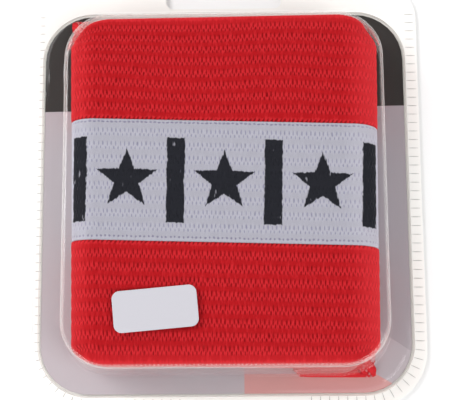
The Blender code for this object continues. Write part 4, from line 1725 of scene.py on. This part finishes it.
@dataclass
class RowOfPieces:
    """A small piece repeated along a line by Geometry Nodes."""

    name: str
    spacing: float
    size: tuple[float, float, float]
    closed: bool
    material: bpy.types.Material

    def tree(self) -> bpy.types.NodeTree:
        """Build the node tree, with named inputs for its sizes.

        Returns:
            The tree, which turns a line into a row of pieces.
        """
        tree = bpy.data.node_groups.new(self.name, "GeometryNodeTree")
        tree.interface.new_socket("Geometry", in_out="INPUT", socket_type="NodeSocketGeometry")
        tree.interface.new_socket("Spacing", in_out="INPUT", socket_type="NodeSocketFloat")
        tree.interface.new_socket("Size", in_out="INPUT", socket_type="NodeSocketVector")
        tree.interface.new_socket("Geometry", in_out="OUTPUT", socket_type="NodeSocketGeometry")
        source = add_node(tree, "NodeGroupInput")
        curve = add_node(tree, "GeometryNodeMeshToCurve", None, {0: source.outputs["Geometry"]})
        spots = add_node(
            tree, "GeometryNodeCurveToPoints", {"mode": "LENGTH"},
            {"Curve": curve, "Length": source.outputs["Spacing"]},
        )
        turned = add_node(
            tree, "FunctionNodeAlignRotationToVector", {"axis": "X", "pivot_axis": "Z"},
            {"Vector": spots.outputs["Tangent"]},
        )
        # The bead is one unit across, so that its scale is its size
        bead = add_node(tree, "GeometryNodeMeshIcoSphere", None, {"Radius": 0.5, "Subdivisions": 2})
        placed = add_node(
            tree, "GeometryNodeInstanceOnPoints", None,
            {"Points": spots.outputs["Points"], "Instance": bead.outputs["Mesh"],
             "Rotation": turned, "Scale": source.outputs["Size"]},
        )
        real = add_node(tree, "GeometryNodeRealizeInstances", None, {0: placed})
        smooth = add_node(tree, "GeometryNodeSetShadeSmooth", None, {0: real})
        dressed = add_node(tree, "GeometryNodeSetMaterial", None, {0: smooth, "Material": self.material})
        add_node(tree, "NodeGroupOutput", None, {0: dressed})
        return tree

    def build(self, line: np.ndarray) -> bpy.types.Object:
        """Repeat the piece along a line and make the result a plain mesh.

        Args:
            line: The line's points, in the frame's axes.

        Returns:
            The dressed piece.
        """
        count = len(line)
        edges = [(index, (index + 1) % count) for index in range(count if self.closed else count - 1)]
        guide_mesh = bpy.data.meshes.new(f"{self.name}_line")
        guide_mesh.from_pydata(line.tolist(), edges, [])
        guide = bpy.data.objects.new(f"{self.name}_line", guide_mesh)
        bpy.context.scene.collection.objects.link(guide)
        tree = self.tree()
        modifier = guide.modifiers.new("row", "NODES")
        modifier.node_group = tree
        sockets = {item.name: item.identifier for item in tree.interface.items_tree if item.in_out == "INPUT"}
        modifier[sockets["Spacing"]] = self.spacing
        modifier[sockets["Size"]] = self.size
        graph = bpy.context.evaluated_depsgraph_get()
        mesh = bpy.data.meshes.new_from_object(guide.evaluated_get(graph), depsgraph=graph)
        guide.modifiers.clear()
        bpy.data.objects.remove(guide)
        return mesh_object(self.name, mesh, [self.material])


@dataclass(frozen=True)
class Yarn:
    """One thick polyester yarn, as in the overlocked selvedge: matt, soft and finely twisted."""

    name: str
    colour: str
    twist: float = 0.5 * MM

    def build(self) -> bpy.types.Material:
        """Make the material with a fine twist.

        Returns:
            The new material.
        """
        material, tree, output = new_material(self.name)
        place = add_node(tree, "ShaderNodeTexCoord").outputs["Object"]
        twist = add_node(
            tree, "ShaderNodeTexNoise", None, {"Vector": place, "Scale": 1.0 / self.twist, "Detail": 2.0}
        )
        bump = add_node(
            tree, "ShaderNodeBump", None, {"Strength": 0.5, "Distance": 0.05 * MM, "Height": twist}
        )
        shader = add_node(
            tree, "ShaderNodeBsdfPrincipled", None,
            {"Base Color": linear(self.colour), "Roughness": 0.8, "Normal": bump, "Sheen Weight": 0.3},
        )
        tree.links.new(shader.outputs[0], output.inputs["Surface"])
        return material


@dataclass
class CaptainArmband:
    """The folded armband: two red sections, the white strip between them and both selvedges."""

    plan: PackPlan
    fold: LoopFold
    band_end: float = 0.15 * MM
    # Where the strip starts and ends, as shares of the band's height
    shares: tuple[float, float] = (0.335, 0.678)
    bead: tuple[float, float, float] = (0.75 * MM, 0.55 * MM, 0.9 * MM)
    bead_inset: float = 0.2 * MM
    waves: tuple[tuple[float, float, float], ...] = (
        (-0.12, 0.17, 0.26), (0.20, 0.12, -0.10), (0.40, 0.10, 0.12),
    )

    def sections(self) -> tuple[KnitSection, KnitSection, KnitSection]:
        """Return the three colour sections.

        Returns:
            The lower section, the strip and the upper section.
        """
        height = self.plan.band_height
        foot, head = -height / 2, height / 2
        first, second = (foot + share * height for share in self.shares)
        # The slit and edge colours are painted shade in the knit's gaps, and the taut colour is a painted
        # sheen
        red = {
            "roll": "#a50f16", "loop": "#c02128", "slit": "#7c0309", "edge": "#74040a", "taut": "#ee3b42"
        }
        lower = ElasticKnit("red_elastic_knit_lower", ends=WhiteEdge.HIGH, **red)
        upper = ElasticKnit("red_elastic_knit_upper", ends=WhiteEdge.LOW, **red)
        # As on the red, slit and edge are painted shade and taut is a painted sheen
        white = ElasticKnit(
            "white_elastic_knit", roll="#a1a0aa", loop="#a8a7b2", slit="#87869a", edge="#7b778c",
            taut="#cfccd8", ends=WhiteEdge.BOTH, slit_half=(0.15, 0.17), dot_half=(0.13, 0.12),
            ink=ScreenInk(),
        )
        return (
            KnitSection(
                "lower_knit", "red_band_lower", "red_elastic", low=foot + self.band_end, high=first,
                recess=0.0, rib_share=1.0, finish=lower,
            ),
            KnitSection(
                "strip_knit", "white_strip", "white_elastic", low=first, high=second,
                recess=0.45, rib_share=0.5, finish=white,
            ),
            KnitSection(
                "upper_knit", "red_band_upper", "red_elastic", low=second, high=head - self.band_end,
                recess=0.0, rib_share=1.0, finish=upper, waves=self.waves,
            ),
        )

    def selvedge_line(self, end: float) -> np.ndarray:
        """Return the line of one selvedge.

        Args:
            end: -1 for the band's foot and 1 for its head.

        Returns:
            The line's points in the frame's axes.
        """
        line, places = self.fold.stations()
        slip = self.fold.slip(places)[:-1]
        reach = self.plan.band_height / 2 - self.band_end - self.bead_inset
        y = self.plan.band_middle + end * reach - slip
        settled = self.plan.settle(line[:, 0] * self.plan.spread_at(y), y, line[:, 1], slip)
        return settled + np.array(self.plan.centre)

    def build(self) -> None:
        """Build and place every piece of the armband."""
        yarn = Yarn("selvedge_yarn", "#cf6a6c").build()
        selvedges = {
            "lower_knit": RowOfPieces("lower_selvedge", self.fold.stitch, self.bead, True, yarn).build(
                self.selvedge_line(-1.0)
            ),
            "upper_knit": RowOfPieces("upper_selvedge", self.fold.stitch, self.bead, True, yarn).build(
                self.selvedge_line(1.0)
            ),
        }
        for section in self.sections():
            piece = section.build(self.fold)
            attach(piece, "root")
            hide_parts(section.node)
            if section.name in selvedges:
                edge = selvedges[section.name]
                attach(edge, "root")
            section.flat_size(self.fold)
            log.info("%s: %d faces", piece.name, len(piece.data.polygons))


@dataclass
class BlisterPack:
    """The pack: formed film with its crimped margin, printed card, back sheet and sticker."""

    plan: PackPlan
    nodes: dict[str, bpy.types.Object]
    # The press marks: their pitch, their sizes in both margins, and the toe's stretch without any
    tick_pitch: float = 2.3 * MM
    short_tick: tuple[float, float, float] = (0.17 * MM, 1.5 * MM, 0.12 * MM)
    long_tick: tuple[float, float, float] = (0.17 * MM, 2.8 * MM, 0.12 * MM)
    toe_ticks: tuple[float, float] = (-12.0 * MM, 22.0 * MM)
    margin_share: float = 0.55
    bend_steps: int = 16
    label_size: tuple[float, float, float] = (21.3 * MM, 10.5 * MM, 0.15 * MM)
    label_corner: float = 2.0 * MM
    label_turn: float = math.radians(5.0)
    # The crowned face's share of the outline, and where its crown starts in the label's thickness
    label_crown: tuple[float, float] = (0.99, 0.7)

    def crimp_lines(self) -> tuple[np.ndarray, np.ndarray]:
        """Return the lines along which the press marks run.

        Returns:
            The line in the narrow left margin and the one in the wide right margin.
        """
        plan = self.plan
        right = plan.card_half + plan.crimp_right * self.margin_share
        left = -plan.card_half - plan.crimp_left * self.margin_share
        toe = -plan.card_span / 2 - plan.crimp_toe * self.margin_share
        turn = plan.card_corner + plan.crimp_left
        head = plan.card_span / 2
        left_bend = turn_arc(left + turn, toe + turn, turn, 180, 270, self.bend_steps)
        right_bend = turn_arc(right - turn, toe + turn, turn, 270, 360, self.bend_steps)
        halves = (
            ([[left, head]], left_bend, [[self.toe_ticks[0], toe]]),
            ([[self.toe_ticks[1], toe]], right_bend, [[right, head]]),
        )
        top = np.array(plan.centre) + (0.0, 0.0, plan.seal_low + plan.film)
        narrow, wide = (np.pad(np.concatenate(half), ((0, 0), (0, 1))) + top for half in halves)
        return narrow, wide

    def sticker(self) -> bpy.types.Object:
        """Build the sticker as a thin rounded plate whose face is very slightly crowned.

        Returns:
            The dressed piece.
        """
        width, height, thick = self.label_size
        corner = self.label_corner
        bm = bmesh.new()
        outline = np.concatenate([
            turn_arc(sx * (width / 2 - corner), sy * (height / 2 - corner), corner, start, start + 90, 12)
            for sx, sy, start in ((1, 1, 0), (-1, 1, 90), (-1, -1, 180), (1, -1, 270))
        ])
        face, shoulder = self.label_crown
        rims = []
        for shrink, z in ((1.0, 0.0), (1.0, thick * shoulder), (face, thick)):
            rims.append([bm.verts.new((x * shrink, y * shrink, z)) for x, y in outline])
        bm.faces.new(rims[0][::-1])
        bm.faces.new(rims[-1])
        for here, after in zip(rims, rims[1:]):
            join_rings(bm, here, after)
        mesh = bpy.data.meshes.new("blank_sticker")
        bm.to_mesh(mesh)
        bm.free()
        middle = self.plan.label_middle
        base = Vector((middle.x, middle.y, middle.z - thick / 2))
        mesh.transform(Matrix.Translation(base) @ Matrix.Rotation(self.label_turn, 4, "Z"))
        return mesh_object("blank_sticker", mesh, [StickerPaper().build()])

    def build(self) -> None:
        """Build and place every piece of the pack."""
        film = ClearFilm().build()
        seal = ClearFilm(name="pressed_seal", tint="#c6c6c6", seal_haze=0.0, step_highlight=0.0).build()
        shell = FormedFilm(self.plan, film).build()
        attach(shell, "root")
        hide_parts("blister")
        log.info("%s: %d faces", shell.name, len(shell.data.polygons))
        sides = (("left_press_marks", self.short_tick), ("right_press_marks", self.long_tick))
        for (name, size), line in zip(sides, self.crimp_lines()):
            ticks = RowOfPieces(name, self.tick_pitch, size, False, seal).build(line)
            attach(ticks, "root")
            log.info("%s: %d faces", ticks.name, len(ticks.data.polygons))
        label = self.sticker()
        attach(label, "root")
        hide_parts("size_label")
        log.info("%s: %d faces", label.name, len(label.data.polygons))
        self.nodes["backing_card"].material_slots[0].material = PrintedBoard().build()
        self.nodes["back_sheet"].material_slots[0].material = film


@dataclass(frozen=True)
class Softbox:
    """A square softbox that faces the pack."""

    name: str
    place: tuple[float, float, float]
    size: float
    power: float

    def build(self) -> None:
        """Add the lamp."""
        data = bpy.data.lights.new(self.name, "AREA")
        data.shape = "SQUARE"
        data.size = self.size
        data.energy = self.power
        lamp = bpy.data.objects.new(self.name, data)
        bpy.context.scene.collection.objects.link(lamp)
        lamp.location = self.place
        lamp.rotation_mode = "QUATERNION"
        lamp.rotation_quaternion = Vector(self.place).to_track_quat("Z", "Y")


@dataclass
class Studio:
    """A pale floor, soft light and the camera that stands where the photograph was taken."""

    plan: PackPlan
    tilt: float = math.radians(10.7)
    roll: float = math.radians(0.40)
    yaw: float = math.radians(-0.45)
    distance: float = 335.0 * MM
    focal_px: float = 1255.0
    frame_px: float = 450.0
    sensor: float = 36.0
    aim_rise: float = 0.1 * MM
    wall_glow: float = 1.15
    ceiling_glow: float = 0.03
    ceiling: tuple[float, float] = (0.62, 0.86)
    floor_half: float = 1.5
    floor_drop: float = 0.05 * MM
    lamps: tuple[Softbox, ...] = (
        Softbox("left_softbox", (-0.75, 0.35, 0.62), 0.5, 6.0),
        Softbox("right_softbox", (0.56, -0.36, 0.74), 0.5, 3.6),
        Softbox("low_softbox", (-0.50, -0.46, 0.74), 0.3, 1.0),
    )

    def camera(self) -> None:
        """Add the camera."""
        data = bpy.data.cameras.new("camera")
        data.sensor_width = self.sensor
        data.lens = self.focal_px / self.frame_px * self.sensor
        camera = bpy.data.objects.new("camera", data)
        bpy.context.scene.collection.objects.link(camera)
        to_view = (
            Matrix.Rotation(self.roll, 3, "Z") @ Matrix.Rotation(-self.tilt, 3, "X")
            @ Matrix.Rotation(self.yaw, 3, "Y")
        )
        aim = self.plan.centre + Vector((0.0, self.aim_rise, 0.0))
        turned = to_view.transposed()
        place = aim + turned @ Vector((0.0, 0.0, self.distance))
        camera.matrix_world = Matrix.Translation(place) @ turned.to_4x4()
        bpy.context.scene.camera = camera

    def floor(self) -> None:
        """Add the pale, matt floor, a little under the pack."""
        bm = bmesh.new()
        bmesh.ops.create_grid(bm, x_segments=8, y_segments=8, size=self.floor_half)
        mesh = bpy.data.meshes.new("floor")
        bm.to_mesh(mesh)
        bm.free()
        mesh.transform(Matrix.Translation((0.0, 0.0, -self.floor_drop)))
        material, tree, output = new_material("pale_floor")
        shader = add_node(
            tree, "ShaderNodeBsdfPrincipled", None, {"Base Color": linear("#fafafa"), "Roughness": 0.9}
        )
        tree.links.new(shader.outputs[0], output.inputs["Surface"])
        mesh_object("floor", mesh, [material])

    def build(self) -> None:
        """Set up the whole studio."""
        self.camera()
        self.floor()
        world = bpy.data.worlds.new("studio_air")
        world.use_nodes = True
        tree = world.node_tree
        tree.nodes.clear()
        way = add_node(tree, "ShaderNodeTexCoord").outputs["Generated"]
        part = add_node(tree, "ShaderNodeSeparateXYZ", None, {0: way})
        glow = add_node(
            tree, "ShaderNodeMapRange", {"interpolation_type": "SMOOTHSTEP"},
            {"Value": part.outputs[2], "From Min": self.ceiling[0], "From Max": self.ceiling[1],
             "To Min": self.wall_glow, "To Max": self.ceiling_glow},
        )
        air = add_node(tree, "ShaderNodeBackground", None, {"Color": linear("#ffffff"), "Strength": glow})
        add_node(tree, "ShaderNodeOutputWorld", None, {0: air})
        bpy.context.scene.world = world
        bpy.context.scene.view_settings.view_transform = "Standard"
        for softbox in self.lamps:
            softbox.build()


def main() -> None:
    """Build the studio, the dressed armband and the pack."""
    logging.basicConfig(level=logging.INFO, format="%(message)s")
    for old in list(bpy.data.objects):
        bpy.data.objects.remove(old, do_unlink=True)
    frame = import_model()
    plan = PackPlan.from_frame()
    Studio(plan).build()
    CaptainArmband(plan, LoopFold(plan)).build()
    BlisterPack(plan, frame["nodes"]).build()


if __name__ == "__main__":
    main()
